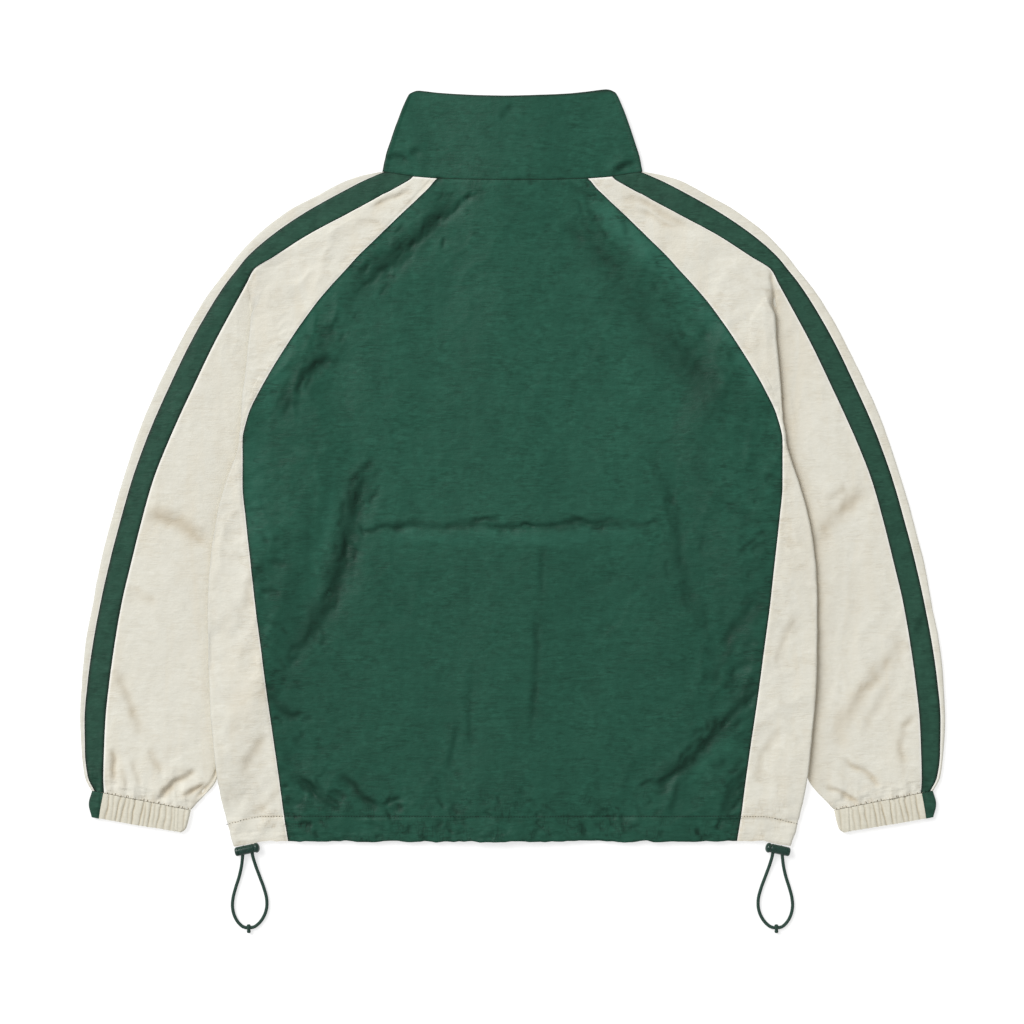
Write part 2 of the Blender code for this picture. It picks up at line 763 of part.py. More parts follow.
def stripe_section(y, low=None):
    start = float(SLEEVE["stripe_in"](y)) + SEAM
    end = float(SLEEVE["stripe_out"](y)) - SEAM
    return spread(start, end, (0, 1), sleeve_z, y if low is None else (y + low) / 2)


def sleeve_stripe(word, side, material):
    rows = sleeve_rows(stripe_section, stripe_section, [back_drop])
    cloth(f"sleeve_stripe_{word}", rows, side, material)


def cuff(word, side, cream, green):
    """The elastic cuff, a flattened tube, and the green piece round its outer fold."""
    cream_rows, green_rows = [], []
    floor = CUFF_WALL / 2
    top = floor + CUFF_GAP
    for outer_u, outer_y, inner_u, inner_y, stripe_u in CUFF_ROWS:
        height = smooth_curve((inner_u, outer_u), (inner_y, outer_y))
        if (outer_u, outer_y) == CUFF_ROWS[0][:2]:
            height = smooth_curve((inner_u, outer_u), (inner_y - EDGE, outer_y - EDGE))
        inner = turn(inner_u + CUFF_WALL / 2, floor, top, -1, 4)
        outer = turn(outer_u - CUFF_WALL / 2, top, floor, 1, 4)
        under = outer_u - CUFF_STRIPE_UNDER
        middle = (inner_u + outer_u) / 2
        loop = [(under - SEAM, floor), (middle, floor), *inner, (middle, top), (stripe_u - SEAM, top)]
        cream_rows.append([(u, float(height(u)), z) for u, z in loop])
        loop = [(stripe_u + SEAM, top), *outer, (under + SEAM, floor)]
        green_rows.append([(u, float(height(u)), z) for u, z in loop])
    cloth(f"cuff_{word}", cream_rows, side, cream, wall=CUFF_WALL)
    cloth(f"cuff_stripe_{word}", green_rows, side, green, wall=CUFF_WALL)


def collar_half(share):
    """Half a ring of the collar: from the centre back round its side fold to the zip."""
    low_y = SHOULDER + EDGE
    fold_y = low_y + (COLLAR_TOP - COLLAR_CORNER - low_y) * share
    fold = float(COLLAR["fold"](fold_y))

    scale = fold / (NECK_HALF + WALL / 2)

    def back_y(u):
        low = low_y - float(back_drop(u / scale))
        high = COLLAR_TOP - COLLAR_TOP_DIP * max(0.0, 1 - (u / (0.88 * fold)) ** 2)
        high -= COLLAR_CORNER * max(0.0, (u - 0.9 * fold) / (0.1 * fold)) ** 2
        return low + (high - low) * share

    def front_y(u):
        low = low_y - float(front_drop(u / scale)) + 0.6 * float(ease((u / scale - 113) / 15))
        high = COLLAR_TOP - COLLAR_CORNER - COLLAR_FRONT_DROP * max(0.0, 1 - (u / fold) ** 2) ** 0.75
        return low + (high - low) * share

    high = FLOOR + COLLAR_FOLD_GAP
    folds = turn(fold - WALL / 2, high, FLOOR, 1, 4)
    points = []
    for place in (0, 12, 39, 78.5, 104, 122):
        u = place * scale
        z = float(over_z(u, SHOULDER)) + (high - FLOOR - BODY_GAP) * float(ease((u - 60) / 50))
        points.append((u, back_y(u), z))
    points += [(u, back_y(u), z) for u, z in folds[:2]]
    points += [(u, front_y(u), z) for u, z in folds[2:]]
    for place in (113, 91, 68.5, 42, 16):
        u = place * scale
        points.append((u, front_y(u), float(FLOOR + zip_lift(u))))
    points.append((PANEL_EDGE, front_y(PANEL_EDGE), float(FLOOR + zip_lift(PANEL_EDGE))))
    return points


def collar(material):
    rows = []
    for share in reversed(COLLAR_RINGS):
        half = collar_half(share)
        rows.append([(-u, y, z) for u, y, z in half[:0:-1]] + half)
    cloth("collar", rows, 1, material)


def front_zip(tape, chain, metal):
    """Tapes, chain, box, slider and pull tab, under the front's middle."""
    top = COLLAR_TOP - COLLAR_CORNER - COLLAR_FRONT_DROP
    tape_top = TAPE_BOTTOM + TAPE_THICK
    for word, side in SIDES:
        ends = sorted((side * TAPE_INNER, side * TAPE_OUTER))
        low = (ends[0], ZIP_START, TAPE_BOTTOM)
        block(f"zip_tape_{word}", low, (ends[1], top - 2, tape_top), tape)
    chain_top = CHAIN_BOTTOM + CHAIN_THICK
    half = CHAIN_WIDTH / 2
    post_start = SLIDER_Y + SLIDER_LENGTH - POST_LENGTH
    chain_start = ZIP_START + BOX_LENGTH + 0.3
    block("zip_chain", (-half, chain_start, CHAIN_BOTTOM), (half, post_start - 0.3, chain_top), chain)
    half = BOX_WIDTH / 2
    block("zip_box", (-half, ZIP_START, 2.6), (half, ZIP_START + BOX_LENGTH, 4.6), metal)
    slider(post_start, metal)
    pull_tab(metal)


def slider(post_start, metal):
    half = SLIDER_WIDTH / 2
    end = SLIDER_Y + SLIDER_LENGTH
    under_top = SLIDER_UNDER + SLIDER_PLATE
    body = block("zip_slider", (-half, SLIDER_Y, SLIDER_UNDER), (half, end, under_top), metal)
    low = (-half, SLIDER_Y, SLIDER_OVER)
    over = block("slider_over_plate", low, (half, end, SLIDER_OVER + SLIDER_PLATE), metal)
    half = POST_WIDTH / 2
    low = (-half, post_start, SLIDER_UNDER + 0.1)
    post = block("slider_post", low, (half, end - 0.4, SLIDER_OVER + 0.1), metal)
    added = [over, post]
    for side in (-1, 1):
        ends = sorted((side * LUG_INSIDE, side * (LUG_INSIDE + LUG_THICK)))
        low = (ends[0], PIVOT_Y - 1.4, LUG_BOTTOM)
        high = (ends[1], PIVOT_Y + 1.4, SLIDER_UNDER + 0.1)
        added.append(block(f"slider_lug_{side}", low, high, metal))
    reach = LUG_INSIDE + LUG_THICK / 2
    start, stop = (-reach, PIVOT_Y, PIVOT_Z), (reach, PIVOT_Y, PIVOT_Z)
    added.append(rod("slider_bar", start, stop, BAR_RADIUS, 10, metal))
    for piece in added:
        combine(body, piece, "UNION")


def pull_tab(metal):
    half, end_half = TAB_WIDTH / 2, TAB_END_WIDTH / 2
    top = TAB_BOTTOM + TAB_THICK
    end = PIVOT_Y - TAB_LENGTH
    outline = [(-half, PIVOT_Y - 0.9), (-half, PIVOT_Y - 9), (-end_half, PIVOT_Y - 12)]
    outline += [(-end_half, end + 2), (-end_half + 2, end)]
    outline += [(-x, y) for x, y in reversed(outline)]
    count = len(outline)
    verts = [(x, y, z) for z in (TAB_BOTTOM, top) for x, y in outline]
    faces = [list(range(count)), list(range(count, 2 * count))]
    faces += [[k, (k + 1) % count, count + (k + 1) % count, count + k] for k in range(count)]
    tab = mesh_object("zip_pull_tab", verts, faces, metal, origin=(0, PIVOT_Y, PIVOT_Z))
    start, stop = (-half, PIVOT_Y, PIVOT_Z), (half, PIVOT_Y, PIVOT_Z)
    eye = rod("tab_eye", start, stop, EYE_RADIUS, 12, metal)
    start, stop = (-half - 1, PIVOT_Y, PIVOT_Z), (half + 1, PIVOT_Y, PIVOT_Z)
    bore = rod("tab_bore", start, stop, EYE_BORE, 12, metal)
    combine(tab, eye, "UNION")
    combine(tab, bore, "DIFFERENCE")


def lock_point(side, along, across=0.0):
    """A point of the cord lock: along its barrel towards the centre, and across it."""
    angle = math.radians(LOCK_TILT)
    u = LOCK_U - along * math.cos(angle) + across * math.sin(angle)
    y = LOCK_Y + along * math.sin(angle) + across * math.cos(angle)
    return (side * u, y, LOCK_Z)


def cord_lock(word, side, plastic):
    barrel = rod(
        f"cord_lock_{word}",
        lock_point(side, -LOCK_OUT),
        lock_point(side, LOCK_IN),
        LOCK_RADIUS,
        20,
        plastic,
        BUTTON_ROUND,
    )
    for strand, route in (("outer", CORD_OUTER), ("inner", CORD_INNER)):
        above, below = Vector(route[0]), Vector(route[2])
        start, stop = above + (above - below), below + (below - above)
        start.x, stop.x = side * start.x, side * stop.x
        hole = rod(f"hole_{strand}_{word}", start, stop, CORD_HOLE, 12, plastic)
        combine(barrel, hole, "DIFFERENCE")
    start, stop = lock_point(side, LOCK_IN + 0.3), lock_point(side, LOCK_IN + 0.3 + BUTTON_LENGTH)
    rod(f"cord_button_{word}", start, stop, BUTTON_RADIUS, 20, plastic, BUTTON_ROUND)


def cord_strand(name, route, side, material):
    """A tube on a smooth line through the route's points."""
    points = np.array(route, float)
    distance = np.concatenate([[0], np.cumsum(np.linalg.norm(np.diff(points, axis=0), axis=1))])
    count = int(distance[-1] / CORD_SPACING) + 1
    at = np.linspace(0, distance[-1], count)
    line = np.stack([smooth_curve(distance, points[:, k])(at) for k in range(3)], axis=1)
    curve = bpy.data.curves.new(name, "CURVE")
    curve.dimensions = "3D"
    curve.bevel_depth = CORD_RADIUS * MILLIMETRE
    curve.bevel_resolution = 2
    curve.use_fill_caps = True
    spline = curve.splines.new("POLY")
    spline.points.add(count - 1)
    for point, (u, y, z) in zip(spline.points, line):
        point.co = (*placed(side * u, y, z), 1)
    curve.materials.append(material)
    bpy.context.collection.objects.link(bpy.data.objects.new(name, curve))


def end_knot(word, side, material):
    mesh = bpy.data.meshes.new(f"cord_knot_{word}")
    shape = bmesh.new()
    bmesh.ops.create_uvsphere(shape, u_segments=12, v_segments=8, radius=1)
    bmesh.ops.scale(shape, vec=Vector(KNOT_HALF) * MILLIMETRE, verts=shape.verts)
    shape.to_mesh(mesh)
    shape.free()
    mesh.shade_smooth()
    mesh.materials.append(material)
    made = bpy.data.objects.new(f"cord_knot_{word}", mesh)
    made.location = placed(side * KNOT_U, KNOT_Y, KNOT_HALF[2])
    bpy.context.collection.objects.link(made)


def build():
    for old in list(bpy.data.objects):
        bpy.data.objects.remove(old, do_unlink=True)
    green = make_material("green_nylon", (44, 87, 72), 0.55)
    cream = make_material("cream_nylon", (226, 221, 207), 0.6)
    cuff_cream = make_material("cream_elastic", (213, 207, 188), 0.7)
    plastic = make_material("green_plastic", (24, 48, 44), 0.35)
    cord = make_material("green_cord", (32, 60, 52), 0.75)
    zip_tape = make_material("zip_tape", (36, 70, 58), 0.8)
    zip_chain = make_material("zip_chain", (38, 74, 62), 0.4)
    metal = make_material("zip_metal", (60, 66, 64), 0.35, 0.9)
    back_panel(green)
    collar(green)
    front_zip(zip_tape, zip_chain, metal)
    for word, side in SIDES:
        front_panel(word, side, green)
        side_panel(word, side, cream)
        sleeve_back(word, side, cream)
        sleeve_stripe(word, side, green)
        sleeve_front(word, side, cream)
        cuff(word, side, cuff_cream, green)
        cord_lock(word, side, plastic)
        cord_strand(f"cord_outer_{word}", CORD_OUTER, side, cord)
        cord_strand(f"cord_inner_{word}", CORD_INNER, side, cord)
        end_knot(word, side, cord)


build()
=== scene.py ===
"""Looks of the crinkled nylon track jacket, laid flat with its back up.

Lengths in the tables and functions are millimetres. x runs to the right from the centre line, y
up from the hem and z up from the surface; u is the distance from the centre line, so that one
table serves the left and the right half. in_frame() turns them into the frame's metres.

Each cloth piece is a thin shell on the form of its CAD solid. Its main lines come from the same
tables as the solid's, and relief_of() lays creases, puckers and crumples on it.
"""

import math

import bmesh
import bpy
import numpy as np
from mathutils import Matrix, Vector


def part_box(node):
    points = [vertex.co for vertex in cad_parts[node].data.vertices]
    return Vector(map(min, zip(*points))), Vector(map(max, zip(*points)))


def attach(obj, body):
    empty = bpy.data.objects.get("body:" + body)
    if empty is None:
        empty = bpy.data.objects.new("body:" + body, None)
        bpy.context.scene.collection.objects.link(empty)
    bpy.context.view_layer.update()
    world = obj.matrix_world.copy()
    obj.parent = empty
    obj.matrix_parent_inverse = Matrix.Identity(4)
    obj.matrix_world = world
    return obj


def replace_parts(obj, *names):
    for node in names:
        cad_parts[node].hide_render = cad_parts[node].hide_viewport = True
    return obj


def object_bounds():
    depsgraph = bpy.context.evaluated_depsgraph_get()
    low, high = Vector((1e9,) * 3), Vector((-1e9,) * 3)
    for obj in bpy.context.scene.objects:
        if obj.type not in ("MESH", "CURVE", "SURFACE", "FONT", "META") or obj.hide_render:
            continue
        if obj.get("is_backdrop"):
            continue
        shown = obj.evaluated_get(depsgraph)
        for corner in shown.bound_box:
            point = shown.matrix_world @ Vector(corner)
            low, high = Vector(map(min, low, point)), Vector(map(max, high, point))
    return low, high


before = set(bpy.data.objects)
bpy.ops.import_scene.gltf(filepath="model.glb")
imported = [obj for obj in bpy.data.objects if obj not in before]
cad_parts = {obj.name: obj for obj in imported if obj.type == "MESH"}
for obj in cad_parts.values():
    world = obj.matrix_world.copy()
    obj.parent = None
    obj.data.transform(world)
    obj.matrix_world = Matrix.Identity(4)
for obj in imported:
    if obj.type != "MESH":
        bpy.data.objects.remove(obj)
CAD_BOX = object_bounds()

MILLIMETRE = 0.001
SIDES = (("left", -1), ("right", 1))

# Sizes of the layers, as in the solids
WALL = 1.6
PLY = 2.0
FLOOR = WALL / 2
BODY_GAP = 5.0
FOLD_GAP = 4.0
SLEEVE_GAP = 3.4
SLEEVE_CROWN = 1.4
ZIP_LIFT = 3.0
BACK_LIFT = 2.0
COLLAR_LIFT = 1.0
CLIMB_RUN = 41.0
CLIMB_END = 10.0
FRONT_SEAM_BACK = 10.0
PLEAT_CLEAR = 0.2

# Heights above the hem
COLLAR_TOP = 791.0
SHOULDER = 707.5
NOTCH = 604.0
ARMPIT = 424.0
HEM_TURN = 29.5
HEM_EDGE = 3.5
HEM_CORNER_START = 264.0
HEM_DROOP = 0.2
LOWEST = -2.1
MIDDLE_Y = (COLLAR_TOP + LOWEST) / 2
CUFF_LINE = 57.0

NECK_HALF = 136.0
NECK_FADE = 583.0
BACK_NECK = ((0, 9.5), (39, 9.0), (78.5, 7.4), (104, 5.4), (133.5, 0.8), (136, 0))
FRONT_NECK = ((0, 56), (16, 55), (42, 51), (68.5, 45), (91, 36), (113, 24.5), (133.5, 5), (136, 0))

SLEEVE_COLUMNS = ("y", "outer", "stripe_out", "stripe_in", "raglan")
SLEEVE_ROWS = (
    (707.5, 138, 134.5, 104.5, 79.5),
    (704, 157, 143, 107.5, 82.5),
    (697, 178, 158.5, 116.5, 87.5),
    (685, 201, 181.5, 134, 98.5),
    (665, 237, 217, 170, 117),
    (640, 269, 253.5, 216.5, 140.5),
    (618, 290, 278.5, 250.5, 163),
    (604, 301, 290, 272, 175.5),
    (590, 312, 301, 279.5, 188.5),
    (569, 327, 315, 291, 206.5),
    (525, 352, 340, 314.5, 237),
    (480, 374, 361.5, 336, 264),
    (450, 387, 375, 350, 278),
    (424, 396.5, 385.5, 361.5, 283.5),
    (383, 410, 400, 377.5, 283.5),
    (341, 422, 412, 389.5, 283.5),
    (299, 433, 423, 400, 283.5),
    (257, 441, 432.5, 410, 283.5),
    (215, 449, 440.5, 417.5, 283.5),
    (173, 453.5, 446.5, 423.5, 283.5),
    (131, 455.5, 450, 428, 283.5),
    (95, 453.5, 449.5, 429.5, 283.5),
    (72, 450.5, 446.5, 430, 283.5),
    (57, 443, 439.5, 429.5, 283.5),
)
BODY_COLUMNS = ("y", "fold", "seam")
BODY_ROWS = (
    (604, 272.5, 283.5),
    (541, 277, 283.5),
    (480, 283, 283.5),
    (424, 288, 283.5),
    (378, 302.5, 283.5),
    (345, 311.5, 280.5),
    (300, 318.5, 275.5),
    (250, 321, 270),
    (200, 320.5, 263.5),
    (150, 318.5, 257),
    (105, 314.5, 250.5),
    (66, 310, 245),
    (30, 302, 240.5),
    (0, 293, 236),
)
PLEAT_COLUMNS = ("y", "climb", "overhang", "tuck", "slope")
PLEAT_ROWS = (
    (604, 0.0, 0.0, 20.5, 18.0),
    (590, 0.4, 0.0, 16.0, 20.0),
    (578, 0.8, 0.0, 10.5, 13.0),
    (569, 1.0, 0.0, 8.0, 8.0),
    (557, 1.0, 5.0, 13.0, 0.0),
    (525, 1.0, 7.0, 34.0, 0.0),
    (480, 1.0, 9.0, 52.0, 0.0),
    (450, 1.0, 10.0, 68.0, 0.0),
    (424, 1.0, 10.0, 77.0, 0.0),
    (72, 1.0, 10.0, 77.0, 0.0),
    (30, 0.0, 10.0, 77.0, 0.0),
)
UNDERARM_COLUMNS = ("y", "fold", "seam")
UNDERARM_ROWS = (
    (424, 210, 277),
    (80, 308, 313),
    (68, 311, 319),
    (54, 321, 335),
    (45, 330, 344),
    (36, 337.5, 350),
)
FALL_COLUMNS = ("y", "fall")  # how far a line across the sleeve falls to its inner fold
FALL_ROWS = ((424, 0), (257, 0), (215, 1), (173, 3), (131, 8), (92, 15), (74, 18), (57, 20.5))
CUFF_ROWS = (
    (442.5, 56.5, 338.0, 36.0, 430.0),
    (446.0, 42.7, 340.5, 24.5, 432.5),
    (443.0, 29.0, 344.0, 13.0, 434.5),
)
CUFF_GAP = 3.6
CUFF_WALL = 2.0
COLLAR_COLUMNS = ("y", "fold")
COLLAR_ROWS = ((707.5, 137.5), (719, 135), (740, 128.5), (761, 121), (782, 112), (791, 107))
COLLAR_TOP_DIP = 5.8
COLLAR_FRONT_DROP = 50.0
COLLAR_FOLD_GAP = 4.2
COLLAR_CORNER = 5.0
COLLAR_RISE = 2.0  # how far the cloth's top edge stands above the solid's

# Cloth
SHELL = 1.2  # thickness of the visible shells
RIM_SHADE = 0.35  # how much painted shade darkens the colour where a fold turns away
LIT_SHADE = 1.2  # and more painted shade where it turns towards the window
TOWARDS_WINDOW = (-0.77, 0.64)
LOWEST_OUTER = 0.02  # no point of a shell's outer side lies lower, and none of its inner side
LOWEST_INNER = 0.3
BODY_CELL = 2.1
SLEEVE_CELL = 2.6


def cubic(t, width, start, end, leaving, arriving):
    """From one value to the next, with a slope at each."""
    line = start * (2 * t**3 - 3 * t**2 + 1) + leaving * width * (t**3 - 2 * t**2 + t)
    return line + end * (3 * t**2 - 2 * t**3) + arriving * width * (t**3 - t**2)


def run_of(lengths):
    """The distance from the start at each point of a line, from its steps' lengths."""
    return np.concatenate([[0], np.cumsum(lengths)])


def smooth_curve(knots, values):
    """A smooth line through a table's column that never overshoots its rows."""
    order = np.argsort(knots)
    x = np.array(knots, float)[order]
    v = np.array(values, float)[order]
    steps = np.diff(v) / np.diff(x)
    slopes = np.zeros(len(x))
    product = steps[:-1] * steps[1:]
    total = np.where(product > 0, steps[:-1] + steps[1:], 1.0)
    slopes[1:-1] = np.where(product > 0, 2 * product / total, 0.0)
    slopes[0] = steps[0]
    slopes[-1] = steps[-1]

    def value(at):
        at = np.clip(np.asarray(at, float), x[0], x[-1])
        k = np.clip(np.searchsorted(x, at) - 1, 0, len(x) - 2)
        width = x[k + 1] - x[k]
        return cubic((at - x[k]) / width, width, v[k], v[k + 1], slopes[k], slopes[k + 1])

    return value


def table_curves(columns, rows):
    """{column: its smooth function of the first column}."""
    knots = [row[0] for row in rows]
    return {name: smooth_curve(knots, [row[i] for row in rows]) for i, name in enumerate(columns) if i}


SLEEVE = table_curves(SLEEVE_COLUMNS, SLEEVE_ROWS)
BODY = table_curves(BODY_COLUMNS, BODY_ROWS)
PLEAT = table_curves(PLEAT_COLUMNS, PLEAT_ROWS)
UNDERARM = table_curves(UNDERARM_COLUMNS, UNDERARM_ROWS)
COLLAR = table_curves(COLLAR_COLUMNS, COLLAR_ROWS)
FALL = table_curves(FALL_COLUMNS, FALL_ROWS)


def ease(t):
    """0 to 1, level at both ends."""
    t = np.clip(t, 0.0, 1.0)
    return t * t * (3 - 2 * t)


def bell(distance, width):
    """1 at no distance, falling off to both sides over about the width."""
    return np.exp(-((distance / width) ** 2))


def fading(distance, reach):
    """1 at no distance, fading to both sides with the reach."""
    return np.exp(-np.abs(distance) / reach)


def along_row(x, size, seed):
    """A smooth random line of lumps of one size."""
    return cloud(x, x * 0, size, size, seed)


def back_seam(y):
    """u of the back panel's edge: the raglan seam, and below the armpit the side seam."""
    return np.where(y >= ARMPIT, SLEEVE["raglan"](y), BODY["seam"](y))


def front_seam(y):
    """u of the front panel's edge."""
    return back_seam(y) - FRONT_SEAM_BACK


def sleeve_inner(y):
    """u of the sleeve's inner edge: under the body's fold, and below the armpit its own fold."""
    return np.where(y >= ARMPIT, BODY["fold"](y) - PLEAT["tuck"](y), UNDERARM["fold"](y))


def back_drop(u):
    """How far the neck seam lies below the shoulder at the back."""
    return np.interp(u, *zip(*BACK_NECK))


def front_drop(u):
    """The same at the front."""
    return np.interp(u, *zip(*FRONT_NECK))


def neck_share(y):
    """How much of the neck's drop a row takes, from none to all at the shoulder."""
    return np.clip((y - NECK_FADE) / (SHOULDER - NECK_FADE), 0, 1)


def hem_edge(u):
    """Height of the hem's edge."""
    return HEM_EDGE - HEM_DROOP * np.clip(u - HEM_CORNER_START, 0, None)


def zip_lift(u):
    """How far the front panels rise over the zip."""
    return ZIP_LIFT * (1 - ease((u - 16) / 26))


def under_z(u, y):
    """The body's lower layer: on the surface, and on the sleeve where that is tucked under."""
    climbed = ease((u - sleeve_inner(y) + CLIMB_END + CLIMB_RUN) / CLIMB_RUN)
    return FLOOR + 2 * PLY * PLEAT["climb"](y) * climbed + zip_lift(u)


def fold_edge(y):
    """u where the body ends and the sleeve begins in the upper layer."""
    return np.minimum(BODY["fold"](y), SLEEVE["outer"](y) - 25)


def over_z(u, y):
    """The body's upper layer."""
    edge = fold_edge(y)
    climbed = ease((u - sleeve_inner(y) + CLIMB_END + CLIMB_RUN) / CLIMB_RUN)
    gap = BODY_GAP + (FOLD_GAP - BODY_GAP) * ease((u - (edge - 70)) / 60)
    lift = BACK_LIFT + COLLAR_LIFT * ease((y - 640) / 60)
    return FLOOR + 2 * PLY * PLEAT["climb"](y) * climbed + gap + lift * (1 - ease((u - 10) / 70))


def sleeve_z(u, y):
    """The sleeve's upper layer: pressed flat under the body, swelling beyond its edge."""
    inner = np.maximum(fold_edge(y), np.where(y < ARMPIT, UNDERARM["fold"](y), 0))
    t = np.clip((u - inner) / (SLEEVE["outer"](y) - inner), 0, 1)
    climb = np.where(y > NOTCH / 2, PLEAT["climb"](y), 1.0)
    pressed = PLY + (SLEEVE_GAP - PLY) * ease((72 - y) / 30)
    flat = FOLD_GAP + (SLEEVE_GAP - FOLD_GAP) * ease(t)
    full = pressed + (SLEEVE_GAP - pressed) * ease(t) + SLEEVE_CROWN * np.sin(math.pi * t)
    return FLOOR + flat + (full - flat) * climb


# Random fields, all seeded


def cloud(x, y, size_x, size_y, seed):
    """A smooth random field between about -1 and 1, with lumps of the given sizes."""
    lattice = np.random.default_rng(seed).uniform(-1, 1, (129, 129))
    a, b = x / size_x + 517.3, y / size_y + 511.7
    i, j = np.floor(a).astype(int), np.floor(b).astype(int)
    s, t = a - i, b - j
    s, t = s**3 * (s * (6 * s - 15) + 10), t**3 * (t * (6 * t - 15) + 10)
    i, j = i % 128, j % 128
    low = lattice[i, j] * (1 - s) + lattice[i + 1, j] * s
    high = lattice[i, j + 1] * (1 - s) + lattice[i + 1, j + 1] * s
    return low * (1 - t) + high * t


def turned(x, y, degrees):
    """The coordinates along and across a direction."""
    angle = math.radians(degrees)
    return x * math.cos(angle) + y * math.sin(angle), y * math.cos(angle) - x * math.sin(angle)


def crumple(x, y, size, degrees, stretch, seed):
    """Soft facets with sharp creases between them, longer along the given direction."""
    a, b = turned(x, y, degrees)
    a = a + size * 0.5 * cloud(x, y, size * 1.3, size * 1.3, seed + 1)
    b = b + size * 0.5 * cloud(x, y, size * 1.3, size * 1.3, seed + 2)
    return 0.55 - np.abs(cloud(a, b, size * stretch, size, seed)) * 1.7


# Relief of the cloth: how far it stands out of its plain form


def along_line(x, y, points):
    """(distance, side, share of the way) of places from a line. side is +1 on the line's lower
    right and -1 on its upper left, where the light comes from."""
    line = np.array(points, float)
    steps = np.diff(line, axis=0)
    lengths = np.hypot(*steps.T)
    run = run_of(lengths)
    overall = line[-1] - line[0]
    across = np.array((-overall[1], overall[0]))
    across *= 1 if across @ (1, -1) > 0 else -1
    best = np.full(np.shape(x), 1e9)
    side = np.zeros(np.shape(x))
    share = np.zeros(np.shape(x))
    for start, step, length, before in zip(line, steps, lengths, run):
        t = np.clip(((x - start[0]) * step[0] + (y - start[1]) * step[1]) / length**2, 0, 1)
        dx, dy = x - start[0] - t * step[0], y - start[1] - t * step[1]
        distance = np.hypot(dx, dy)
        near = distance < best
        best = np.where(near, distance, best)
        side = np.where(near, np.where(dx * across[0] + dy * across[1] > 0, 1.0, -1.0), side)
        share = np.where(near, (before + t * length) / run[-1], share)
    return best, side, share


def warped(x, y, seed, strength, fine):
    """Places moved about a little, so that lines through them waver."""
    moved = []
    for place, first in ((x, seed), (y, seed + 2)):
        wide = strength * cloud(x, y, 24, 24, first)
        moved.append(place + wide + strength / 2 * cloud(x, y, fine, fine, first + 1))
    return moved


def creases(x, y, rows, seed, darkness=0.6):
    """(height, shade) of the listed folds. Each falls from a ridge on its upper left into a
    furrow on its lower right, with a groove between them. A negative groove is a ridge."""
    warp_x, warp_y = warped(x, y, seed, 2.4, 8)
    uneven = 1 + 0.45 * cloud(x, y, 9, 9, seed + 4)
    high, shade = np.zeros(np.shape(x)), np.zeros(np.shape(x))
    for fall, groove, width, points in rows:
        low, top = np.min(points, axis=0) - 6 * width, np.max(points, axis=0) + 6 * width
        near = (x > low[0]) & (x < top[0]) & (y > low[1]) & (y < top[1])
        if not near.any():
            continue
        distance, side, share = along_line(warp_x[near], warp_y[near], points)
        s = distance * side / width
        fade = ease(share / 0.3) * ease((1 - share) / 0.3) * uneven[near]
        drop = -fall * np.tanh(1.6 * s) * np.exp(-((np.abs(s) / 2) ** 1.5))
        high[near] += fade * (drop - groove * np.exp(-1.3 * s * s))
        if groove < 0:
            continue
        # Painted shade in the furrow, as a share of the fold colour
        depth = fade * min(1.0, max(fall, groove) * darkness) * np.exp(-1.1 * (s - 0.1) ** 2)
        shade[near] = np.maximum(shade[near], depth)
    return high, shade


def crumpled(x, y, crumples, lumps, strength=1.0):
    """The crumples and the soft lumps of one side together."""
    high = np.zeros(np.shape(x))
    for height, size, degrees, stretched, seed in crumples:
        high += height * strength * crumple(x, y, size, degrees, stretched, seed)
    for height, wide, long, seed in lumps:
        high += height * cloud(x, y, wide, long, seed)
    return high


SEAM_STEP = 4.0  # between the heights at which a seam's run is measured


def seam_frame(x, y, curve):
    """(distance outwards from a seam given as u of y, place along it)."""
    u = np.abs(x)
    slope = (curve(y + 2) - curve(y - 2)) / 4
    length = np.hypot(1, slope)
    across = (u - curve(y)) / length
    foot = y + across * slope / length
    heights = np.arange(-20, 800, SEAM_STEP)
    run = run_of(np.hypot(SEAM_STEP, np.diff(curve(heights))))
    return across, np.interp(foot, heights, run)


def puckers(across, along, reach, size, seed):
    """Small gathers that run away from a line of stitches."""
    ripple = cloud(along + 0.35 * across, across, size, size * 4, seed)
    ripple = ripple + 0.6 * cloud(along - 0.5 * across, across, size * 0.6, size * 2.5, seed + 1)
    strength = 0.65 + 0.55 * along_row(along, 45, seed + 2)
    return ripple * strength * fading(across, reach * (1 + 0.5 * along_row(along, 17, seed + 3)))


